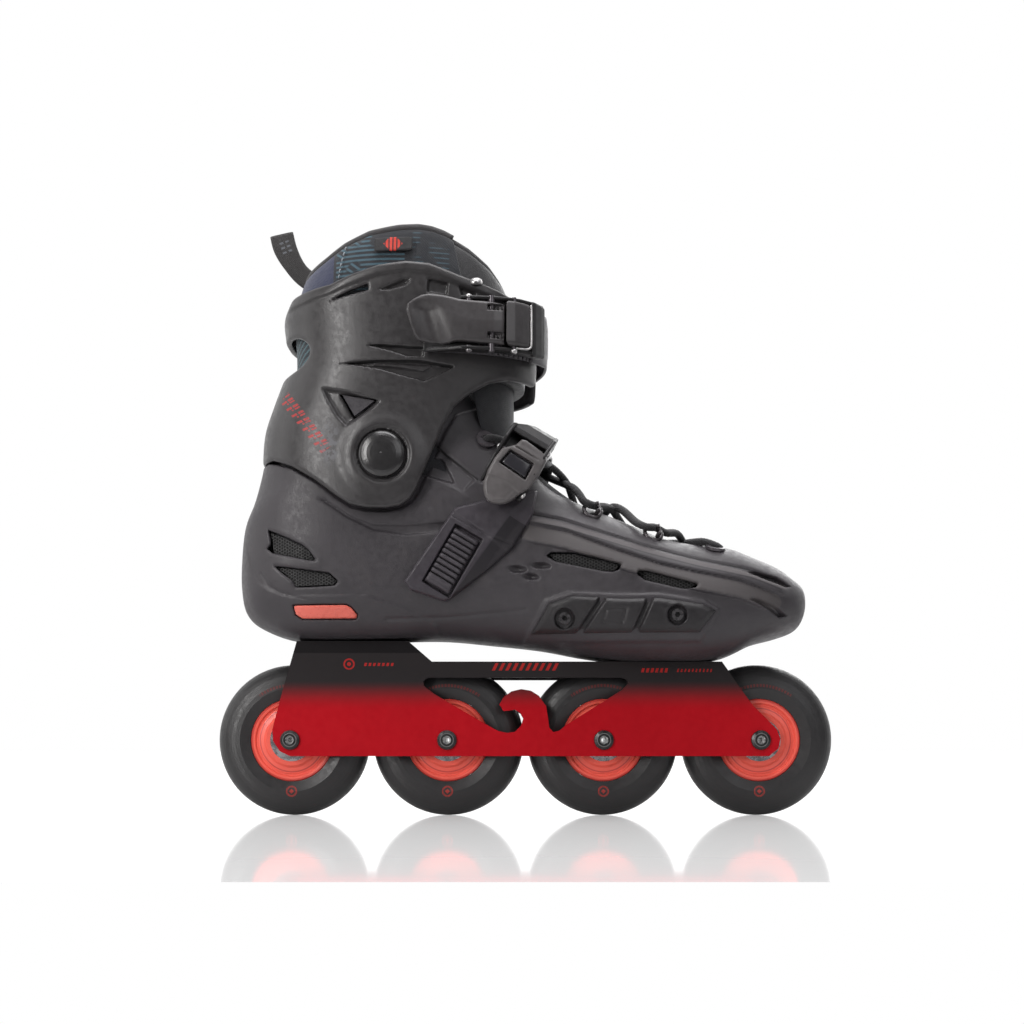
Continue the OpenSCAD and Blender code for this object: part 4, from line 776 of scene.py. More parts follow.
W1 = [[-7.3, 181.0], [3.9, 174.2], [-0.2, 166.6], [-12.6, 175.0]]
pw1 = poly_distance(W1, x, z)
d = smax(d, -np.maximum(smax(pw1, pw1 - 0.0, 0.1) - 0.3, 52.6 - s), 0.7)
slit, _ = line_distance([[-8.2, 184.6], [7.0, 175.8], [9.4, 171.4]], x, z)
d = smax(d, -np.maximum(slit - 0.35, 56.0 - s), 0.3)
ilever = B2.mesh("instep_lever_visual", d, smooth=1)
d = smax(smax(np.maximum(s - 56.9 + 0.012 * ((u - 67) ** 2 + (w - 4.4) ** 2), 53.0 - s), pw1 + 0.5, 1.3), -100 + 0 * s, 0.1)
irel = B2.mesh("instep_release_visual", d, smooth=1)
# base: dark frame with cheeks and the ribbed guide at its head
cheek = poly_distance([[55, 50.0], [66, 49.6], [74, 48.4], [84, 44.6], [89, 39.8], [93.6, 42.2], [90.8, 47.6], [86, 52.2], [80, 55.4], [70, 56.4], [62, 55.0], [56, 52.6]], u, s)
c1 = smax(cheek, np.abs(w + 6.1) - 0.95, 0.6)
c2 = smax(cheek, np.abs(w - 14.9) - 0.9, 0.6)
head = poly_distance([[84.0, 46.6], [88, 42.8], [91.6, 39.0], [93.6, 40.8], [91.4, 45.6], [87.4, 49.4], [84.4, 50.4]], u, s)
hd = smax(head, np.abs(w - 4.2) - 11.0, 1.2)
floor_ = poly_distance([[56, 48.6], [66, 48.4], [74, 47.2], [84, 43.4], [88, 39.6], [89.4, 41], [85, 45.2], [74, 49.4], [66, 50.2], [56, 50.2]], u, s)
d = np.minimum(np.minimum(c1, c2), np.minimum(hd, smax(floor_, np.abs(w - 4.2) - 11.4, 0.4)))
ibase = B2.mesh("instep_buckle_base_visual", d, smooth=1)


def iw(u_, w_, y_):
    c, q_ = math.cos(TH), math.sin(TH)
    return (-37 + u_ * c - w_ * q_, y_, 112 + u_ * q_ + w_ * c)


ibits = [stud("p1", iw(74, -7.0, -52.8), (0.861, 0, -0.509), dome), stud("p2", iw(83.0, -7.0, -50.4), (0.861, 0, -0.509), dome), stud("p3", iw(58.6, -7.0, -53.4), (0.861, 0, -0.509), [(0.01, 0.9), (0.9, 0.8), (1.4, 0.3), (1.4, -0.8), (0.01, -0.8)]),
         stud("p4", iw(74, 15.8, -52.8), (-0.861, 0, 0.509), dome)]
ipins = join("instep_pin_heads", *ibits)

# ribbed strap over the instep
IU = (-0.8607, 0, 0.509)


def arch_stations(a0, a1, k, ht, h, w0, hh, dz):
    out = []
    raw = []
    for i in range(k * 4 + 1):
        a = a0 + (a1 - a0) * i / (k * 4)
        raw.append((38 + h * float(pw(np.float64(math.cos(a)), 2.3)), w0 * float(pw(np.float64(math.sin(a)), 2.3))))
    seg = [math.dist(raw[i], raw[i + 1]) for i in range(len(raw) - 1)]
    acc = np.concatenate([[0], np.cumsum(seg)])
    t = np.linspace(0, acc[-1], k)
    U_ = np.interp(t, acc, [p[0] for p in raw])
    Y_ = np.interp(t, acc, [p[1] for p in raw])
    for i in range(k):
        j0, j1 = max(i - 1, 0), min(i + 1, k - 1)
        tu, ty = U_[j1] - U_[j0], Y_[j1] - Y_[j0]
        L = math.hypot(tu, ty)
        nu, ny = ty / L, -tu / L
        if nu * (U_[i] - 38) + ny * Y_[i] < 0:
            nu, ny = -nu, -ny
        f = i / (k - 1)
        out.append((iw(U_[i], 0, Y_[i]), (nu * math.cos(TH), ny, nu * math.sin(TH)), hh(f), ht, dz(f)))
    return out


istrap = strip("instep_strap_band", arch_stations(-0.86, 1.49, 130, 1.15, 52.1, 48.15, lambda f: 9.4 - 1.0 * ease(f, 0.8, 1.0), lambda f: 3.5), up=IU)
irib = []
for i in range(15):
    a = -0.62 + i * 0.05
    st = arch_stations(a - 0.012, a + 0.012, 5, 0.75, 53.5, 49.5, lambda f: 7.6, lambda f: 3.5)
    irib.append(strip("ir%d" % i, st, up=IU, n=20, e=4))
pad_ = strip("instep_strap_pad", arch_stations(-0.78, 0.92, 60, 1.6, 49.4, 45.4, lambda f: 11.5 * (0.35 + 0.65 * min(1, 6 * f, 6 * (1 - f))) , lambda f: 3.2), up=IU, e=2.6)
istrap_o = join("instep_strap_visual", istrap, *irib)

# ------------------------------------------------------------------ padded leg of the liner
LEGC = catmull(np.array(LEG, float), 8)
RIMX = [-124, -120, -108, -101, -91, -78, -63, -53, -46.5, -40.4, -28, -18, -12.6, -8, 4]
RIMZ = [274.6, 276, 279, 282, 287.6, 292.8, 295.4, 296, 295.2, 293.4, 288, 281.8, 275.8, 266, 250]


def leg_pt(a, zz_, off):
    row = [np.interp(zz_, LEGC[:, 0], LEGC[:, c]) for c in (1, 2, 3)]
    xb, xf, w_ = row[0] + off, row[1] - off, row[2] - off
    return ((xb + xf) / 2 + (xf - xb) / 2 * float(pw(np.float64(math.cos(a)), 2.4)), w_ * float(pw(np.float64(math.sin(a)), 2.4)), zz_)


def collar(name, a0, a1, cols, off, thick, zb, rim_shift=0.0, rows=13):
    loops, tops = [], []
    for i in range(cols):
        a = a0 + (a1 - a0) * i / (cols - 1)
        zt = 285.0
        for _ in range(14):
            zt = 0.5 * zt + 0.5 * (float(np.interp(leg_pt(a, zt, off)[0], RIMX, RIMZ)) + rim_shift)
        L = []
        for k in range(rows):
            L.append(leg_pt(a, zb + (zt - thick / 2 - zb) * k / (rows - 1), off))
        for k in range(1, 6):
            t = math.pi * k / 6
            L.append(leg_pt(a, zt - thick / 2 + thick / 2 * math.sin(t), off + thick / 2 * (1 - math.cos(t))))
        for k in range(rows):
            L.append(leg_pt(a, zt - thick / 2 + (zb - zt + thick / 2) * k / (rows - 1), off + thick))
        loops.append(L)
        tops.append((a, zt))
    o = loft(name, loops)
    return o, loops, tops


A_BACK = 1.05
rows = 13
lin, LL, tops = collar("liner_collar_visual", A_BACK, 2 * math.pi - A_BACK, 150, 0.9, 6.6, 222.0, rows=rows)
nl = len(LL[0])
pins_ = {}
cols = 150
seams = {22, 36, 74, 113, 127}
for i in range(cols):
    for j in range(nl):
        v = i * nl + j
        if j < 2 or j > nl - 3 or i in seams or i in (0, cols - 1):
            pins_[v] = 1.0
        elif abs(j - 7) == 0 and 22 < i < 127:
            pins_[v] = 0.8
moved = [puff(lin, pins_, 5.0, 1.7)]
modify(lin, "SUBSURF", levels=1, render_levels=1)
apply_all(lin)

tng, TL, ttops = collar("tongue_collar_visual", -1.12, 1.12, 56, 2.2, 7.4, 222.0, rim_shift=-1.4, rows=rows)
nt = len(TL[0])
pins_ = {}
for i in range(56):
    for j in range(nt):
        if j < 2 or j > nt - 3 or i in (0, 1, 54, 55) or (j in (6,) and 4 < i < 51):
            pins_[i * nt + j] = 1.0
moved.append(puff(tng, pins_, 5.0, 1.9))
modify(tng, "SUBSURF", levels=1, render_levels=1)
apply_all(tng)

# piping round the rim, and lines of stitches
rim_pts = [leg_pt(a, zt - 0.6, 0.9 + 2.6) for a, zt in tops]
piping = rope("liner_piping", rim_pts, 2.5, step_mm=1.6, n=14, ripple=0.02, pitch=3)
rim2 = [leg_pt(a, zt - 0.5, 2.2 + 3.2) for a, zt in ttops]
piping2 = rope("tongue_piping", rim2, 2.5, step_mm=1.6, n=14)
st = []
for idx, side_ in ((36, 1), (113, -1)):
    a, zt = tops[idx]
    zz_ = 252.0
    while zz_ < zt - 4.5:
        p, q = leg_pt(a + side_ * 0.012, zz_, -0.35), leg_pt(a + side_ * 0.012, zz_ + 1.7, -0.35)
        m_ = leg_pt(a + side_ * 0.012, zz_ + 0.85, -0.75)
        st.append(rope("st", [p, m_, q], 0.32, step_mm=0.5, n=6))
        zz_ += 2.9
stitches = join("liner_stitches", *st)

# tongue over the instep
TP = [(83, 136.6), (74, 141.0), (66, 145.2), (50, 152.8), (34, 160.2), (22, 167.4), (10.6, 176.2), (2.6, 184.4), (-2.8, 193), (-5.4, 203), (-5.6, 214), (-6.0, 226), (-7, 238)]
TW = [9, 11.5, 13, 15.2, 17.2, 18.6, 20.2, 23, 27.5, 31, 33, 34, 34]
TA = [1.2, 1.8, 2.4, 3.4, 4.4, 5.6, 7.4, 9.6, 12, 14.5, 17, 19, 20]
P3 = catmull(np.array([[p[0], p[1], a_, b_] for p, a_, b_ in zip(TP, TW, TA)], float), 4)
loops = []
for i in range(len(P3)):
    j0, j1 = max(i - 1, 0), min(i + 1, len(P3) - 1)
    t = P3[j1, :2] - P3[j0, :2]
    t /= np.linalg.norm(t)
    nx, nz = t[1], -t[0]
    if nx < 0:
        nx, nz = -nx, -nz
    L = []
    for k in range(40):
        a = 2 * math.pi * k / 40
        yy = P3[i, 2] * float(pw(np.float64(math.cos(a)), 2.6))
        tt = 3.2 * float(pw(np.float64(math.sin(a)), 2.6)) - 3.4 - P3[i, 3] * (yy / P3[i, 2]) ** 2
        L.append((P3[i, 0] + nx * tt, yy, P3[i, 1] + nz * tt))
    loops.append(L)
tl = loft("tongue_lower_visual", loops)
pins_ = {}
for i in range(len(loops)):
    for k in range(40):
        if i < 2 or i > len(loops) - 3 or k in (0, 1, 19, 20, 21, 39) or (i % 8 == 4 and 2 < k < 18) or (k in (7, 13) and i > 6):
            pins_[i * 40 + k] = 1.0
moved.append(puff(tl, pins_, 5.0, 1.5))
modify(tl, "SUBSURF", levels=1, render_levels=1)
apply_all(tl)
print("fabric moved up to (mm)", [round(v, 2) for v in moved])

# lining inside the boot and footbed cover: the inner wall of the foot
lining_rings = []
for rg in boot_rings(sub=3, n=72)[3:]:
    c = rg.mean(0)
    v = c - rg
    L = np.linalg.norm(v, axis=1)[:, None]
    low = (rg[:, 2:3] < c[2]) * 1.0
    lining_rings.append(rg + v / L * (4.6 + 5.5 * np.clip((c[2] - rg[:, 2:3]) / 40, 0, 1) * (np.abs(v[:, 2:3]) / L)))
gapc = [[-90, 21.5], [8, 20.8], [40, 16.8], [72, 11.8], [80, 8], [83, 0]]
nlr = len(lining_rings[0])
F, P = [], [p for r_ in lining_rings for p in r_]


def in_gap(p):
    return p[2] > 128 and abs(p[1]) < np.interp(p[0], [g_[0] for g_ in gapc], [g_[1] for g_ in gapc]) + 0.3 and p[0] < 82


for i in range(len(lining_rings) - 1):
    for j in range(nlr):
        k = (j + 1) % nlr
        q4 = (i * nlr + j, i * nlr + k, (i + 1) * nlr + k, (i + 1) * nlr + j)
        c = sum(np.array(P[v]) for v in q4) / 4
        if not in_gap(c):
            F.append(q4)
lining = new_mesh("liner_foot_visual", P, F)
modify(lining, "SOLIDIFY", thickness=-0.0032, offset=1.0)
apply_all(lining)

# pull loop of flat webbing
LP = [(-128.6, 306.0), (-126.6, 298.4), (-122.4, 290.4), (-117.6, 284.4), (-111.4, 280.4), (-105.0, 279.4)]
path = smooth_path([(a, 0.0, b_) for a, b_ in LP], 1.2)
stt = []
for i, p in enumerate(path):
    j0, j1 = max(i - 1, 0), min(i + 1, len(path) - 1)
    t = path[j1] - path[j0]
    t /= np.linalg.norm(t)
    f = i / (len(path) - 1)
    stt.append((p, (0, 1, 0), 6.2 - 1.6 * f + 0.25 * math.sin(f * 9), 1.35 + 0.25 * math.sin(f * 6), 0.0))
loops = []
for (p, nrm, hh, ht, dz), i in zip(stt, range(len(stt))):
    j0, j1 = max(i - 1, 0), min(i + 1, len(path) - 1)
    t = path[j1] - path[j0]
    t /= np.linalg.norm(t)
    up_ = np.array([-t[2], 0, t[0]])
    yb = 1.6 * math.sin(math.pi * i / (len(stt) - 1) * 1.0)
    for_side = []
    for j in range(28):
        a = 2 * math.pi * j / 28
        for_side.append(np.array(p) + np.array((0, 1, 0)) * (ht * float(pw(np.float64(math.cos(a)), 3)) - yb * 0.3) + up_ * hh * float(pw(np.float64(math.sin(a)), 5)))
    loops.append(for_side)
loop_o = loft("pull_loop_visual", loops)

# ------------------------------------------------------------------ lace
def crown(x_):
    return float(np.interp(x_, [2, 6, 12, 22, 34, 50, 66, 83], [193, 184.4, 176.2, 167.4, 160.2, 152.8, 145.2, 136.6]))


E1, H1, H2, E2 = (-20, 31.8, 190.8), (33.4, 28.5, 154.7), (64.4, 26.5, 143.5), (96.4, 26.7, 136.3)


def cross(A, B, sgn, lift):
    """Lace from A on one side over the tongue to B on the other."""
    a = np.array([A[0], sgn * A[1], A[2]], float)
    b_ = np.array([B[0], -sgn * B[1], B[2]], float)
    out = []
    for t in np.linspace(0, 1, 9):
        p = a + (b_ - a) * t
        hump = math.sin(math.pi * t) ** 0.8
        zc = crown(p[0]) + lift
        p[2] = (1 - hump) * p[2] + hump * max(zc, p[2] * 0 + zc)
        out.append(tuple(p))
    return out


laces = []
for sg_ in (-1, 1):
    top_l = 2.4 if sg_ < 0 else 4.6
    path = [(104.0, sg_ * 22.6, 129.0), (99.5, sg_ * 25.6, 136.4)]
    path += [(96.0, sg_ * 25.0, 138.9), (91.0, sg_ * 20.5, 141.2), (86.6, sg_ * 11.0, 142.2), (84.0, sg_ * 2.0, 143.0), (79.0, -sg_ * 9.0, 144.6 + (sg_ > 0) * 2.4), (72.0, -sg_ * 19.4, 146.0), (66.4, -sg_ * 26.0, 147.6)]
    path += [(62.6, -sg_ * 30.2, 147.2), (59.6, -sg_ * 28.6, 148.2), (56.0, -sg_ * 21.4, 151.6), (50.6, -sg_ * 10.0, 156.4 + (sg_ > 0) * 2.6), (46.0, sg_ * 2.0, 160.2 + (sg_ > 0) * 2.6), (41.6, sg_ * 13.4, 160.2), (37.0, sg_ * 22.8, 159.0)]
    path += [(33.0, sg_ * 31.4, 158.4), (29.6, sg_ * 31.0, 160.2), (27.6, sg_ * 24.8, 164.6), (25.2, sg_ * 14.0, 169.6), (21.6, sg_ * 3.0, 173.6 + (sg_ > 0) * 2.4), (15.0, -sg_ * 8.0, 178.4 + (sg_ > 0) * 2.4), (7.0, -sg_ * 17.4, 183.8), (-2.6, -sg_ * 24.4, 188.4), (-12.0, -sg_ * 30.4, 191.2), (-18.6, -sg_ * 33.4, 191.6), (-21.6, -sg_ * 30.0, 189.4), (-19.0, -sg_ * 24.4, 187.4)]
    laces.append(rope("lace%d" % sg_, path, 2.05, step_mm=0.8, n=14, flat=0.92, ripple=0.09, pitch=2.6))
lace_o = join("lace_visual", *laces)

# hooks: a ring lying on the shell and a pronged keeper, mirrored
hooks = []
for (hx, hy, hz) in (H1, H2):
    for sg_ in (-1, 1):
        i = int(((hx + 155) / VOX))
        n_ = Vector((0.24, sg_ * 0.82, 0.50)).normalized()
        c = Vector((hx, sg_ * hy, hz)) + n_ * 2.0
        q = n_.to_track_quat("Z", "Y")
        ring = []
        for k in range(33):
            a = 2 * math.pi * k / 32
            v = q @ Vector((4.4 * math.cos(a), 4.4 * math.sin(a), 0))
            ring.append(tuple(c + v))
        hooks.append(rope("hk", ring, 1.05, step_mm=0.8, n=10))
        for k in (-1, 1):
            base_ = c + (q @ Vector((1.6, 2.2 * k, 0)))
            hooks.append(rope("pr", [tuple(base_), tuple(base_ + n_ * 1.6), tuple(base_ + n_ * 2.8 + Vector((0.3, 0, 0.1))), tuple(base_ + n_ * 3.3 + Vector((1.2, 0, 0.1)))], 1.05, step_mm=0.6, n=10))
hooks_o = join("lace_hook_rings", *hooks)

# ------------------------------------------------------------------ materials
class E:
    """A shader value that can be used in arithmetic."""

    def __init__(self, tree, socket):
        self.t, self.k = tree, socket

    def op(self, name, *args):
        n = self.t.nodes.new("ShaderNodeMath")
        n.operation = name
        for i, a in enumerate((self,) + args):
            if isinstance(a, E):
                self.t.links.new(a.k, n.inputs[i])
            else:
                n.inputs[i].default_value = float(a)
        return E(self.t, n.outputs[0])

    def __add__(self, o): return self.op("ADD", o)
    def __sub__(self, o): return self.op("SUBTRACT", o)
    def __mul__(self, o): return self.op("MULTIPLY", o)
    def __truediv__(self, o): return self.op("DIVIDE", o)
    def __neg__(self): return self.op("MULTIPLY", -1)
    def abs(self): return self.op("ABSOLUTE")
    def frac(self): return self.op("FRACT")
    def sin(self): return self.op("SINE")
    def sqrt(self): return self.op("SQRT")
    def gt(self, o): return self.op("GREATER_THAN", o)
    def lt(self, o): return self.op("LESS_THAN", o)
    def mn(self, o): return self.op("MINIMUM", o)
    def mx(self, o): return self.op("MAXIMUM", o)
    def mod(self, o): return self.op("FLOORED_MODULO", o)

    def ramp(self, a, b_, c=0.0, d_=1.0):
        n = self.t.nodes.new("ShaderNodeMapRange")
        n.interpolation_type = "SMOOTHSTEP"
        self.t.links.new(self.k, n.inputs["Value"])
        for k, v in zip(("From Min", "From Max", "To Min", "To Max"), (a, b_, c, d_)):
            n.inputs[k].default_value = v
        return E(self.t, n.outputs["Result"])


class Shade:
    """Builds one material: object space in millimetres, a base colour that varies, grain, and marks on top."""

    def __init__(self, name, color, rough=0.45, vary=0.16, grain=0.12, grain_scale=1.0, metal=0.0, coat=0.0, spec=0.5,
                 rough_vary=0.08, sheen=0.0, wear=0.0, wear_color=(0.2, 0.19, 0.2), aniso=0.0):
        self.m = bpy.data.materials.new(name)
        self.m.use_nodes = True
        self.t = self.m.node_tree
        self.b = self.t.nodes["Principled BSDF"]
        tc = self.t.nodes.new("ShaderNodeTexCoord")
        vm = self.t.nodes.new("ShaderNodeVectorMath")
        vm.operation = "SCALE"
        vm.inputs["Scale"].default_value = 1000
        self.t.links.new(tc.outputs["Object"], vm.inputs[0])
        self.pos = vm.outputs[0]
        sp = self.t.nodes.new("ShaderNodeSeparateXYZ")
        self.t.links.new(self.pos, sp.inputs[0])
        self.x, self.y, self.z = (E(self.t, sp.outputs[i]) for i in range(3))
        big = self.noise(0.045, 4)
        mid = self.noise(0.35, 3)
        f = big * 0.6 + mid * 0.4
        self.col = self.mix(f.ramp(0.3, 0.7), [c * (1 - vary) for c in color], [c * (1 + vary) for c in color])
        self.b.inputs["Metallic"].default_value = metal
        self.b.inputs["Specular IOR Level"].default_value = spec
        self.b.inputs["Coat Weight"].default_value = coat
        self.b.inputs["Coat Roughness"].default_value = 0.12
        if sheen:
            self.b.inputs["Sheen Weight"].default_value = sheen
            self.b.inputs["Sheen Roughness"].default_value = 0.5
        self.rough = mid.ramp(0.25, 0.75, rough - rough_vary, rough + rough_vary)
        self.height = self.noise(2.2 * grain_scale, 2) * 1.0
        self.grain = grain
        self.bump_mm = 0.12
        if wear:
            g = self.t.nodes.new("ShaderNodeNewGeometry")
            e = E(self.t, g.outputs["Pointiness"]).ramp(0.505, 0.56) * self.noise(0.8, 3).ramp(0.3, 0.6) * wear
            self.col = self.mix(e, self.col, wear_color)

    def noise(self, scale, detail=2, offset=0.0):
        n = self.t.nodes.new("ShaderNodeTexNoise")
        n.inputs["Scale"].default_value = scale
        n.inputs["Detail"].default_value = detail
        n.inputs["Roughness"].default_value = 0.55
        self.t.links.new(self.pos, n.inputs["Vector"])
        return E(self.t, n.outputs["Fac"])

    def mix(self, f, a, b_):
        n = self.t.nodes.new("ShaderNodeMix")
        n.data_type = "RGBA"
        for i, v in ((0, f), (6, a), (7, b_)):
            if isinstance(v, E):
                self.t.links.new(v.k, n.inputs[i])
            elif isinstance(v, bpy.types.NodeSocket):
                self.t.links.new(v, n.inputs[i])
            elif isinstance(v, (tuple, list)):
                n.inputs[i].default_value = (v[0], v[1], v[2], 1)
            else:
                n.inputs[i].default_value = v
        return n.outputs[2]

    def paint(self, mask, color, rough=None):
        self.col = self.mix(mask, self.col, color)
        if rough is not None:
            self.rough = self.rough * (mask * -1 + 1) + mask * rough

    def done(self):
        self.t.links.new(self.col, self.b.inputs["Base Color"])
        self.t.links.new(self.rough.k, self.b.inputs["Roughness"])
        bp = self.t.nodes.new("ShaderNodeBump")
        bp.inputs["Strength"].default_value = self.grain
        bp.inputs["Distance"].default_value = self.bump_mm * MM
        self.t.links.new(self.height.k, bp.inputs["Height"])
        self.t.links.new(bp.outputs[0], self.b.inputs["Normal"])
        return self.m


def band(v, a, b_, soft=0.15):
    return v.ramp(a - soft, a + soft) * v.ramp(b_ - soft, b_ + soft, 1, 0)


def rect(u_, w_, u0, u1, w0, w1, soft=0.15):
    return band(u_, u0, u1, soft) * band(w_, w0, w1, soft)


def seg(S, a, b_):
    """Distance in the side view to the line from a to b_."""
    ex, ez = b_[0] - a[0], b_[1] - a[1]
    L = ex * ex + ez * ez
    px_, pz_ = S.x - a[0], S.z - a[1]
    t = ((px_ * ex + pz_ * ez) / L).mx(0).mn(1)
    qx_, qz_ = px_ - t * ex, pz_ - t * ez
    return (qx_ * qx_ + qz_ * qz_).sqrt()


# Paints lines along side-view segments; the default near-black is painted shade in grooves and cut edges, and a light
# colour gives a painted highlight.
def lines(S, pts, wd, color=(0.006, 0.0055, 0.006), soft=0.25, amount=0.85, side_only=15):
    d_ = None
    for a, b_ in zip(pts[:-1], pts[1:]):
        q_ = seg(S, a, b_)
        d_ = q_ if d_ is None else d_.mn(q_)
    S.paint(d_.ramp(wd - soft, wd + soft, 1, 0) * S.y.abs().gt(side_only) * amount, color, 0.7)


# boot shell
S = Shade("boot_plastic", (0.047, 0.0425, 0.0475), rough=0.46, vary=0.12, grain=0.35, grain_scale=0.9, wear=0.06, spec=0.42)
S.height = S.height + S.noise(0.9, 2) * 0.7
dirt = S.noise(0.09, 5).ramp(0.52, 0.72) * 0.25
S.paint(dirt, (0.062, 0.056, 0.058))
# Painted highlights: two lighter bands along the forefoot ridge, standing in for the light the ledge catches.
lines(S, [[0, 150.2], [18, 147.0], [57.2, 134.8], [87.2, 127.0], [112, 122.0], [130, 116.2]], 1.3, (0.115, 0.102, 0.104), 0.4, 0.55)
lines(S, [[2, 142.6], [20, 138.8], [46, 128.8], [66, 122.2], [84.3, 118.0], [106, 114.0], [124, 108.4]], 3.9, (0.082, 0.073, 0.072), 0.5, 0.6)
# Painted shade: thin dark lines along the ridge's grooves, under its ledge and behind the instep strap.
lines(S, [[-2, 152.9], [18, 149.6], [57.2, 137.4], [87.2, 129.6], [112, 124.6]], 0.35)
lines(S, [[-46.4, 189.2], [-40, 182.6], [-31, 175.4], [-24, 169.8]], 0.4)
lines(S, [[0, 148.4], [18, 145.2], [57.2, 133.0], [87.2, 125.2], [112, 120.2], [128, 114.6]], 0.25, amount=0.45)
M_boot = S.done()
# cuff
S = Shade("cuff_plastic", (0.040, 0.0375, 0.039), rough=0.37, vary=0.10, grain=0.22, grain_scale=0.9, wear=0.05, spec=0.5)
# abstract slanted bars where a print runs down the heel side, lateral side only
u_ = (S.x + 121.0) * 0.62 + (S.z - 211.6) * -0.784
w_ = (S.x + 121.0) * 0.784 + (S.z - 211.6) * 0.62
k_ = (u_ - w_ * 0.35) / 4.9
bar = k_.frac()
out_ = rect(u_, w_, -2.0, 36.0, -3.1, 3.1, 0.2)
bars = band(bar, 0.16, 0.44, 0.04) + band(bar, 0.58, 0.76, 0.04) * band(w_, -1.2, 3.1, 0.2)
gap_ = w_.abs().ramp(0.25, 0.5)
S.paint((out_ * bars * gap_).mn(1.0) * S.y.lt(0) * S.noise(1.6, 2).ramp(0.30, 0.42) * 0.9, (0.42, 0.018, 0.018), 0.5)
g1 = ((S.x + 97.0) * (S.x + 97.0) / 30 + (S.z - 188.0) * (S.z - 188.0) / 150).ramp(0.3, 1.3, 1, 0)
S.paint(g1 * S.noise(0.42, 4).ramp(0.46, 0.54) * S.y.lt(0) * S.z.ramp(204, 180, 0.25, 0.75), (0.15, 0.15, 0.165), 0.6)
# Painted shade: dark lines along the edges of the blade-shaped cut under the buckle and of the cut where the strap
# starts.
lines(S, [[-92.0, 226.0], [-72, 226.6], [-52, 226.4], [-36, 224.0]], 0.5)
lines(S, [[-78.4, 234.2], [-70, 234.3], [-58, 233.4], [-50, 233.0]], 0.4)
lines(S, [[-50.2, 217.2], [-41, 221.0], [-35.6, 223.6]], 0.35, amount=0.6)
lines(S, [[-71.4, 222.9], [-60, 219.6], [-50.2, 217.2]], 0.35, amount=0.6)
M_cuff = S.done()
# frame
S = Shade("frame_anodised", (0.43, 0.0045, 0.011), rough=0.40, vary=0.06, grain=0.04, grain_scale=1.3, spec=0.12)
S.paint(S.z.ramp(54.5, 70.5), (0.026, 0.0225, 0.0235), 0.42)
# Painted shade: the frame's top under the heel is darkened beyond its black paint.
S.paint(S.z.ramp(84.2, 84.6) * S.x.lt(-40) * 0.75, (0.006, 0.005, 0.006), 0.5)
fx = S.x
sgl = S.y.lt(0) * 1.0
near = S.y.abs().gt(13.0) * 1.0


def ticks(S, x0, x1, z0, z1, pitch, duty, slant=0.25):
    k = ((S.x - x0 - (S.z - z0) * slant) / pitch).frac()
    return rect(S.x - (S.z - z0) * slant, S.z, x0, x1, z0, z1, 0.12) * band(k, 0.08, duty, 0.05)


red = (0.40, 0.022, 0.020)
S.paint(ticks(S, -83.5, -67.5, 77.7, 79.3, 2.3, 0.62) * near, red, 0.5)
r_ = ((S.x + 91) * (S.x + 91) + (S.z - 78.7) * (S.z - 78.7)).sqrt()
S.paint((band(r_, 2.1, 2.9, 0.15) + band(r_, -1, 1.0, 0.15)) * near, red, 0.5)
S.paint(ticks(S, -17.6, 17.0, 75.4, 79.2, 3.45, 0.56, 0.5) * near, red, 0.5)
S.paint(ticks(S, 59.5, 74.0, 74.4, 76.6, 2.4, 0.66) * near, red, 0.5)
S.paint(ticks(S, 78.0, 96.0, 74.6, 76.2, 1.9, 0.5) * near, red, 0.5)
M_frame = S.done()
M = {}


def simple(name, *a, **k):
    M[name] = Shade(name, *a, **k).done()
    return M[name]


simple("strap_plastic", (0.040, 0.037, 0.042), rough=0.40, grain=0.3, wear=0.15)
simple("slider_plastic", (0.026, 0.024, 0.026), rough=0.44, grain=0.3, spec=0.35)
simple("buckle_plastic", (0.054, 0.050, 0.052), rough=0.36, rough_vary=0.04, grain=0.02, spec=0.5)
simple("instep_buckle_plastic", (0.100, 0.092, 0.093), rough=0.40, rough_vary=0.04, grain=0.02, spec=0.5)
simple("base_plastic", (0.014, 0.013, 0.014), rough=0.40, grain=0.03, spec=0.4)
S = Shade("arm_plastic", (0.046, 0.040, 0.048), rough=0.44, grain=0.3, spec=0.4)
u_ = (S.x + 37) * math.cos(TH) + (S.z - 112) * math.sin(TH)
w_ = (S.x + 37) * -math.sin(TH) + (S.z - 112) * math.cos(TH)
# Painted shade: the forward strip where the plate folds down is darkened.
S.paint(((w_ + 0.9) * -1 - (u_ - 6) * 0.10).ramp(0.2, 0.9) * u_.lt(48) * S.y.lt(0) * 0.9, (0.015, 0.0125, 0.016), 0.5)
M["arm_plastic"] = S.done()
S = Shade("ladder_plastic", (0.056, 0.050, 0.058), rough=0.42, grain=0.3, spec=0.4)
u_ = (S.x + 37) * math.cos(TH) + (S.z - 112) * math.sin(TH)
w_ = (S.x + 37) * -math.sin(TH) + (S.z - 112) * math.cos(TH)
# Painted shade: the grooves between the ribs are painted near-black.
gr_ = (((u_ - 4.6) / 2.76).frac() - 0.5).abs()
S.paint(gr_.ramp(0.36, 0.46) * band(u_, 3.7, 29.0, 0.2) * band(w_, 1.6, 14.4, 0.3) * 0.9, (0.003, 0.003, 0.003), 0.8)
M["ladder_plastic"] = S.done()
simple("cap_gloss", (0.024, 0.023, 0.024), rough=0.24, rough_vary=0.03, grain=0.04, coat=0.0, spec=0.7)
simple("window_gloss", (0.030, 0.029, 0.034), rough=0.2, rough_vary=0.04, grain=0.05, coat=0.2)
simple("bright_steel", (0.56, 0.55, 0.55), rough=0.38, metal=1.0, grain=0.0, vary=0.03)
simple("plain_steel", (0.62, 0.61, 0.61), rough=0.28, metal=1.0, grain=0.1, vary=0.08)
simple("bearing_steel", (0.72, 0.72, 0.74), rough=0.26, metal=1.0, grain=0.0, vary=0.04)
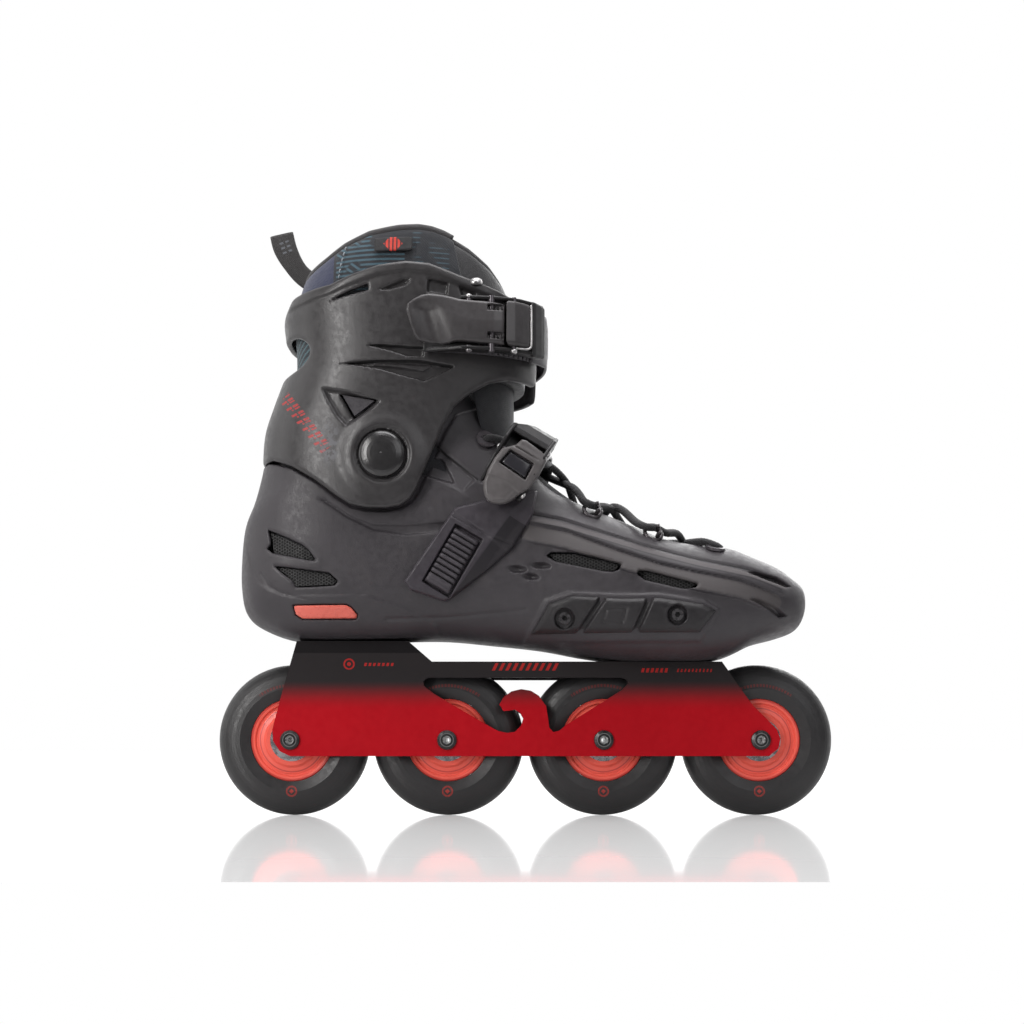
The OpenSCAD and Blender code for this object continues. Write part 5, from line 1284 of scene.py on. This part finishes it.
simple("eyelet_steel", (0.11, 0.10, 0.11), rough=0.32, metal=0.5, grain=0.0)
simple("hook_steel", (0.075, 0.068, 0.072), rough=0.30, metal=0.6, grain=0.0)
simple("black_steel", (0.022, 0.021, 0.022), rough=0.32, metal=0.3, grain=0.1, wear=0.3)
simple("shock_rubber", (0.03, 0.03, 0.032), rough=0.7, grain=0.6)
simple("insole_foam", (0.045, 0.047, 0.055), rough=0.9, grain=0.8)
simple("wheel_lug", (0.02, 0.02, 0.02), rough=0.4, grain=0.2)
S = Shade("reflector", (0.78, 0.145, 0.105), rough=0.30, vary=0.06, grain=0.05, coat=0.25)
hx_ = ((S.x / 2.4).frac() - 0.5).abs() + ((S.z / 2.4).frac() - 0.5).abs()
S.height = S.height * 0.3 + hx_ * 1.2
S.grain = 0.25
M["reflector"] = S.done()
# axle heads: dark ring, bright socket
S = Shade("axle_steel", (0.030, 0.029, 0.030), rough=0.30, vary=0.1, grain=0.1, metal=0.4)
ax_ = (S.x + 162.0).mod(81.0) - 40.5
r_ = (ax_ * ax_ + (S.z - 39.5) * (S.z - 39.5)).sqrt()
S.paint(r_.ramp(1.9, 2.3, 1, 0), (0.80, 0.80, 0.80), 0.3)
S.paint(band(r_, 3.2, 3.6, 0.15), (0.22, 0.22, 0.22), 0.3)
M["axle_steel"] = S.done()
# vent mesh with cells; the open cells are painted near-black as painted shade seen through them
S = Shade("vent_mesh", (0.026, 0.025, 0.026), rough=0.6, grain=1.0)
kk = 2 * math.pi / 1.35
cell = (S.x * kk).op("COSINE") + (S.x * (-kk / 2) + S.z * (kk * 0.866)).op("COSINE") + (S.x * (-kk / 2) - S.z * (kk * 0.866)).op("COSINE")
S.paint(cell.ramp(-0.2, 0.8), (0.0025, 0.0025, 0.0025), 0.8)
S.height = cell.ramp(-0.5, 1.5) * -1.0
S.bump_mm = 0.6
M["vent_mesh"] = S.done()


# fabrics
def weave(S, p=0.9, amount=1.0):
    a = (S.x * (6.283 / p)).sin() * ((S.z + S.y * 0.3) * (6.283 / p)).sin()
    S.height = S.height * 0.4 + a * 0.5 * amount
    S.bump_mm = 0.18


S = Shade("liner_fabric", (0.013, 0.015, 0.020), rough=0.82, vary=0.15, grain=0.7, sheen=0.25)
weave(S)
teal, navy = (0.055, 0.115, 0.150), (0.028, 0.034, 0.075)
side_reg = band(S.x, -94.6, -60, 0.4) * S.z.gt(262)
hl = band((S.z / 2.5 + S.noise(0.05, 1) * 0.2).frac(), 0.18, 0.62, 0.08)
m1 = (S.noise(0.07, 1).ramp(0.44, 0.50))
S.paint(side_reg * hl * m1 * 0.85, teal)
dg_ = band(((S.x * 0.8 + S.z) / 4.2).frac(), 0.2, 0.55, 0.08)
S.paint(band(S.x, -94.6, -82, 0.4) * dg_ * (m1 * -1 + 1) * S.z.gt(262) * 0.9, teal)
S.paint(band(S.x, -56, -38, 0.6) * band((S.z / 2.6).frac(), 0.3, 0.55, 0.08) * S.noise(0.09, 1).ramp(0.4, 0.5) * 0.55, teal)
S.paint(S.x.lt(-96.0) * S.z.gt(256) * 0.95, navy)
rear = S.z.lt(252) * S.x.lt(-96)
S.paint(rear * 1.0, (0.020, 0.026, 0.034))
S.paint(rear * band(((S.x.abs() * 0.0 + S.y * 0.55 + S.z) / 3.1).frac(), 0.25, 0.62, 0.08) * 0.95, (0.075, 0.135, 0.155))
M["liner_fabric"] = S.done()
S = Shade("tongue_leather", (0.017, 0.0165, 0.019), rough=0.52, vary=0.14, grain=0.8, grain_scale=0.55, sheen=0.1)
S.bump_mm = 0.2
M["tongue_leather"] = S.done()
S = Shade("tongue_fabric", (0.016, 0.016, 0.020), rough=0.75, vary=0.14, grain=0.7, sheen=0.2)
weave(S, 1.1)
M["tongue_fabric"] = S.done()
S = Shade("binding", (0.030, 0.028, 0.030), rough=0.7, vary=0.12, grain=0.8, sheen=0.25)
weave(S, 0.8)
M["binding"] = S.done()
S = Shade("webbing", (0.030, 0.028, 0.028), rough=0.72, vary=0.1, grain=0.9, sheen=0.2)
weave(S, 1.0)
u_ = (S.x + 126.4) * 0.35 + (S.z - 300.0) * -0.94
w_ = (S.x + 126.4) * 0.94 + (S.z - 300.0) * 0.35
S.paint(rect(w_, u_, -2.6, 2.4, -3.6, 5.0, 0.2) * band((u_ / 2.6).frac(), 0.2, 0.6, 0.08) * w_.abs().gt(0.6) * 0.75, (0.14, 0.15, 0.17))
M["webbing"] = S.done()
S = Shade("lace_cord", (0.016, 0.015, 0.017), rough=0.8, vary=0.15, grain=1.0, sheen=0.2)
weave(S, 1.3)
M["lace_cord"] = S.done()
simple("thread_white", (0.30, 0.33, 0.36), rough=0.7, grain=0.3)
S = Shade("label", (0.020, 0.020, 0.022), rough=0.7, vary=0.1, grain=0.7)
weave(S, 0.7)
lx, lz = S.x + 65.6, S.z - 285.0
tri_ = (lx.abs() + (lz - 0.4).abs() * 0.9)
S.paint(tri_.lt(4.8) * ((lx / 1.95 + 0.175).frac().gt(0.34)) * S.y.lt(0), (0.62, 0.045, 0.028))
M["label"] = S.done()


def tyre_mat(i, cx):
    S = Shade("tyre_%d" % i, (0.026, 0.025, 0.026), rough=0.40, vary=0.10, grain=0.25, spec=0.45)
    X_, Z_ = S.x - cx, S.z - 39.5
    r = (X_ * X_ + Z_ * Z_).sqrt()
    ang = X_.op("ARCTAN2", Z_)
    q = (X_ * X_ + (Z_ + 26.6) * (Z_ + 26.6)).sqrt()
    em = (band(q, 2.0, 2.9, 0.12) * (X_ * 1.4).frac().gt(0.25) + band((X_.abs() + (Z_ + 26.6).abs()), -1, 1.3, 0.1)).mn(1.0)
    S.paint(em * 0.9, (0.36, 0.030, 0.022))
    ds = band((ang * 17).frac(), 0.1, 0.72, 0.06) * band(ang, -0.62, 0.62, 0.02) * band(r, 27.6, 29.1, 0.12)
    S.paint(ds * 0.55, (0.20, 0.020, 0.018))
    S.paint(r.ramp(38.2, 39.4) * S.y.abs().lt(6) * S.noise(0.5, 3).ramp(0.35, 0.65) * 0.5, (0.055, 0.053, 0.053), 0.75)
    return S.done()


def hub_mat(i, cx):
    S = Shade("hub_%d" % i, (0.88, 0.125, 0.088), rough=0.36, vary=0.05, grain=0.12, spec=0.5)
    X_, Z_ = S.x - cx, S.z - 39.5
    r = (X_ * X_ + Z_ * Z_).sqrt()
    # Painted shade: two darker concentric rings, the outer one where the hub meets the tyre.
    S.paint(band(r, 16.2, 16.8, 0.2), (0.55, 0.05, 0.04))
    S.paint(band(r, 20.2, 21.6, 0.2), (0.62, 0.06, 0.045))
    return S.done()


def wear_mat(o, m):
    o.data.materials.clear()
    o.data.materials.append(m)


CAD_MAT = {
    "frame": M_frame, "axle_bolts": M["axle_steel"], "bearing_inner_races": M["bearing_steel"], "bearing_spacers": M["plain_steel"],
    "mounting_bolts": M["black_steel"], "mounting_washers": M["plain_steel"], "sole_inserts": M["plain_steel"],
    "heel_shock_pad": M["shock_rubber"], "footbed": M["insole_foam"], "vent_mesh": M["vent_mesh"], "slider_screws": M["black_steel"],
    "lace_eyelets": M["eyelet_steel"], "lace_hooks": M["black_steel"], "instep_arm_screws": M["black_steel"],
    "instep_anchor_screw": M["black_steel"], "instep_hinge_pin": M["eyelet_steel"], "pivot_bushings": M["plain_steel"],
    "pivot_bolts": M["plain_steel"], "pivot_nuts": M["plain_steel"], "pivot_caps": M["cap_gloss"],
    "triangle_inserts": M["strap_plastic"], "cuff_buckle_rivets": M["bright_steel"], "cuff_anchor_screw": M["black_steel"],
    "cuff_hinge_pin": M["eyelet_steel"]}
for i, cx in enumerate((-121.5, -40.5, 40.5, 121.5), 1):
    CAD_MAT["tyre_%d" % i] = tyre_mat(i, cx)
    CAD_MAT["hub_%d" % i] = hub_mat(i, cx)
    CAD_MAT["bearing_outer_races_%d" % i] = M["bearing_steel"]
    CAD_MAT["ball_cages_%d" % i] = M["plain_steel"]
for n, m in CAD_MAT.items():
    wear_mat(nodes[n], m)
for n in ("frame", "slider_screws", "mounting_bolts", "triangle_inserts", "axle_bolts", "pivot_caps"):
    modify(nodes[n], "BEVEL", width=0.0007 if n == "frame" else 0.0003, segments=3, limit_method="ANGLE", angle_limit=0.6)

# small label on the liner's side
lab = []
for yy in (0,):
    quad = []
    for i in range(9):
        row_ = []
        for j in range(5):
            X_ = -75.0 + 19.0 * i / 8
            z_ = 281.6 + 7.4 * j / 4 + 0.03 * (X_ + 66)
            row = [np.interp(z_, LEGC[:, 0], LEGC[:, c]) for c in (1, 2, 3)]
            c_, h_ = (row[0] + row[1]) / 2, (row[1] - row[0]) / 2
            y_ = -(row[2] - 0.9) * max(0.0, 1 - abs((X_ - c_) / (h_ - 0.9)) ** 2.4) ** (1 / 2.4) - 2.0
            row_.append((X_, y_, z_))
        quad.append(row_)
    P = [p for r_ in quad for p in r_]
    F = [(i * 5 + j, i * 5 + j + 1, (i + 1) * 5 + j + 1, (i + 1) * 5 + j) for i in range(8) for j in range(4)]
    label = new_mesh("liner_label", P, F)
    modify(label, "SOLIDIFY", thickness=0.0011, offset=0.0)
    modify(label, "SUBSURF", levels=2, render_levels=2)
    apply_all(label)

# ------------------------------------------------------------------ which piece rides on what
RIDES = [
    (shell, "chassis", M_boot, ["boot_shell"], "boot_plastic"), (refl, "chassis", M["reflector"], ["heel_reflectors"], "reflector"),
    (slider, "chassis", M["slider_plastic"], ["side_sliders"], "strap_plastic"), (arm_o, "chassis", M["arm_plastic"], ["instep_arm", "instep_arm_screws"], "strap_plastic"),
    (lad_o, "chassis", M["ladder_plastic"], ["instep_ladder"], "strap_plastic"), (cuff, "cuff", M_cuff, ["cuff_shell"], "cuff_plastic"),
    (lever, "cuff_lever", M["buckle_plastic"], ["cuff_lever"], "buckle_plastic"), (rel_o, "cuff_release", M["buckle_plastic"], ["cuff_release"], "buckle_plastic"),
    (base, "cuff", M["base_plastic"], ["cuff_buckle_base"], "buckle_plastic"), (pins, "cuff", M["bright_steel"], [], "bright_steel"),
    (studs, "cuff", M["bright_steel"], [], "bright_steel"), (ladder_o, "cuff", M["strap_plastic"], ["cuff_ladder"], "strap_plastic"),
    (ilever, "instep_lever", M["instep_buckle_plastic"], ["instep_lever"], "buckle_plastic"), (irel, "instep_release", M["window_gloss"], ["instep_release"], "cap_gloss"),
    (ibase, "chassis", M["base_plastic"], ["instep_buckle_base"], "buckle_plastic"), (ipins, "chassis", M["bright_steel"], [], "bright_steel"),
    (istrap_o, "chassis", M["strap_plastic"], ["instep_strap"], "strap_plastic"), (pad_, "chassis", M["tongue_fabric"], [], "strap_pad"),
    (lin, "cuff", M["liner_fabric"], ["liner_upper"], "liner_fabric"), (tng, "cuff", M["tongue_leather"], ["tongue_upper"], "tongue_leather"),
    (piping, "cuff", M["binding"], [], "webbing"), (piping2, "cuff", M["binding"], [], "webbing"), (stitches, "cuff", M["thread_white"], [], "webbing"),
    (label, "cuff", M["label"], [], "webbing"), (lining, "chassis", M["tongue_fabric"], ["liner_lower"], "liner_fabric"),
    (loop_o, "cuff", M["webbing"], ["pull_loop"], "webbing"), (lace_o, "chassis", M["lace_cord"], ["lace"], "webbing"),
    (hooks_o, "chassis", M["hook_steel"], ["lace_hooks"], "black_steel")]
for o, bd, m, rp, sl in RIDES:
    wear_mat(o, m)
    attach(o, bd)
    if rp:
        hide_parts(*rp)
wear_mat(tl, M["tongue_fabric"])
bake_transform(tl)
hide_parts("tongue_lower")

# ------------------------------------------------------------------ stage, light, camera
scn = bpy.context.scene


def stage_mesh(name, pts, faces, mat):
    o = new_mesh(name, pts, faces)
    wear_mat(o, mat)
    return o


FLOOR_GLOW, FLOOR_BOUNCE = 0.27, 0.08
fm = bpy.data.materials.new("floor_paint")
fm.use_nodes = True
ft = fm.node_tree
fb = ft.nodes["Principled BSDF"]
fb.inputs["Base Color"].default_value = (0.50, 0.50, 0.50, 1)
fb.inputs["Roughness"].default_value = 0.06
fb.inputs["IOR"].default_value = 1.33
tcf = ft.nodes.new("ShaderNodeTexCoord")
nz = ft.nodes.new("ShaderNodeTexNoise")
nz.inputs["Scale"].default_value = 14
ft.links.new(tcf.outputs["Object"], nz.inputs["Vector"])
mr = ft.nodes.new("ShaderNodeMapRange")
mr.inputs["To Min"].default_value, mr.inputs["To Max"].default_value = 0.05, 0.075
ft.links.new(nz.outputs["Fac"], mr.inputs["Value"])
ft.links.new(mr.outputs["Result"], fb.inputs["Roughness"])
# paint bright enough to carry no horizon, darkened only by the mirror image
fb.inputs["Emission Color"].default_value = (1, 1, 1, 1)
lw = ft.nodes.new("ShaderNodeLightPath")
es = E(ft, lw.outputs["Is Camera Ray"]) * FLOOR_GLOW + FLOOR_BOUNCE
ft.links.new(es.k, fb.inputs["Emission Strength"])
floor = stage_mesh("floor", [(-3000, -350, 0), (3000, -350, 0), (3000, 4000, 0), (-3000, 4000, 0)], [(0, 1, 2, 3)], fm)

world = bpy.data.worlds.new("studio")
scn.world = world
world.use_nodes = True
wt = world.node_tree
bg = wt.nodes["Background"]
geo = wt.nodes.new("ShaderNodeTexCoord")
sx = wt.nodes.new("ShaderNodeSeparateXYZ")
wt.links.new(geo.outputs["Generated"], sx.inputs[0])
dy = E(wt, sx.outputs[1])
back = dy.ramp(-0.12, 0.25)
lp = wt.nodes.new("ShaderNodeLightPath")
camr = E(wt, lp.outputs["Is Camera Ray"])
diff = E(wt, lp.outputs["Is Diffuse Ray"])
front = diff * 0.10 + 0.05
amb = back * (front * -1 + 1.0) + front
strength = camr * 1.0 + (camr * -1 + 1) * amb
bg.inputs["Color"].default_value = (1, 1, 1, 1)
wt.links.new(strength.k, bg.inputs["Strength"])


def area(name, loc, target, size, energy, color=(1, 1, 1), size_y=None):
    l = bpy.data.lights.new(name, "AREA")
    l.energy, l.size, l.color = energy, size, color
    if size_y:
        l.shape = "RECTANGLE"
        l.size_y = size_y
    o = bpy.data.objects.new(name, l)
    scn.collection.objects.link(o)
    o.location = loc
    o.rotation_euler = (Vector(target) - Vector(loc)).to_track_quat("-Z", "Y").to_euler()
    return o


area("key", (-0.98, -1.06, 0.60), (-0.05, 0, 0.17), 0.30, 13, (1, 0.985, 0.97), 1.1)
area("side", (-1.3, -0.15, 0.5), (-0.05, 0, 0.17), 0.5, 2.2, (1, 0.99, 0.98), 0.9)
area("fill", (0.9, -1.3, 0.9), (0.03, 0, 0.12), 1.0, 4.6, (0.98, 0.98, 1))
area("top", (0.05, -0.25, 1.3), (0.02, 0, 0.12), 0.9, 13, (1, 0.985, 1))
area("rear", (0.4, 1.2, 0.8), (0, 0, 0.15), 1.0, 8)

cam = bpy.data.cameras.new("camera")
co = bpy.data.objects.new("camera", cam)
scn.collection.objects.link(co)
scn.camera = co
cam.lens, cam.sensor_width = 49.30, 36
co.location = (0, -0.740, 0.0395)
co.rotation_euler = (math.pi / 2, 0, 0)
# the lens shift belongs to the photograph's own view only
for prop, val in (("shift_x", -0.0131), ("shift_y", 0.2227)):
    dr_ = cam.driver_add(prop).driver
    dr_.type = "SCRIPTED"
    for vn, ch in (("y", "LOC_Y"), ("z", "LOC_Z")):
        va = dr_.variables.new()
        va.name = vn
        va.type = "TRANSFORMS"
        va.targets[0].id = co
        va.targets[0].transform_type = ch
        va.targets[0].transform_space = "WORLD_SPACE"
    dr_.expression = "%f*(abs(y+0.74)<0.0005)*(abs(z-0.0395)<0.0005)" % val
scn.view_settings.view_transform = "Standard"
scn.cycles.max_bounces = 6
scn.cycles.use_denoising = True

for im in [i for i in bpy.data.images if i.users == 0]:
    bpy.data.images.remove(im)
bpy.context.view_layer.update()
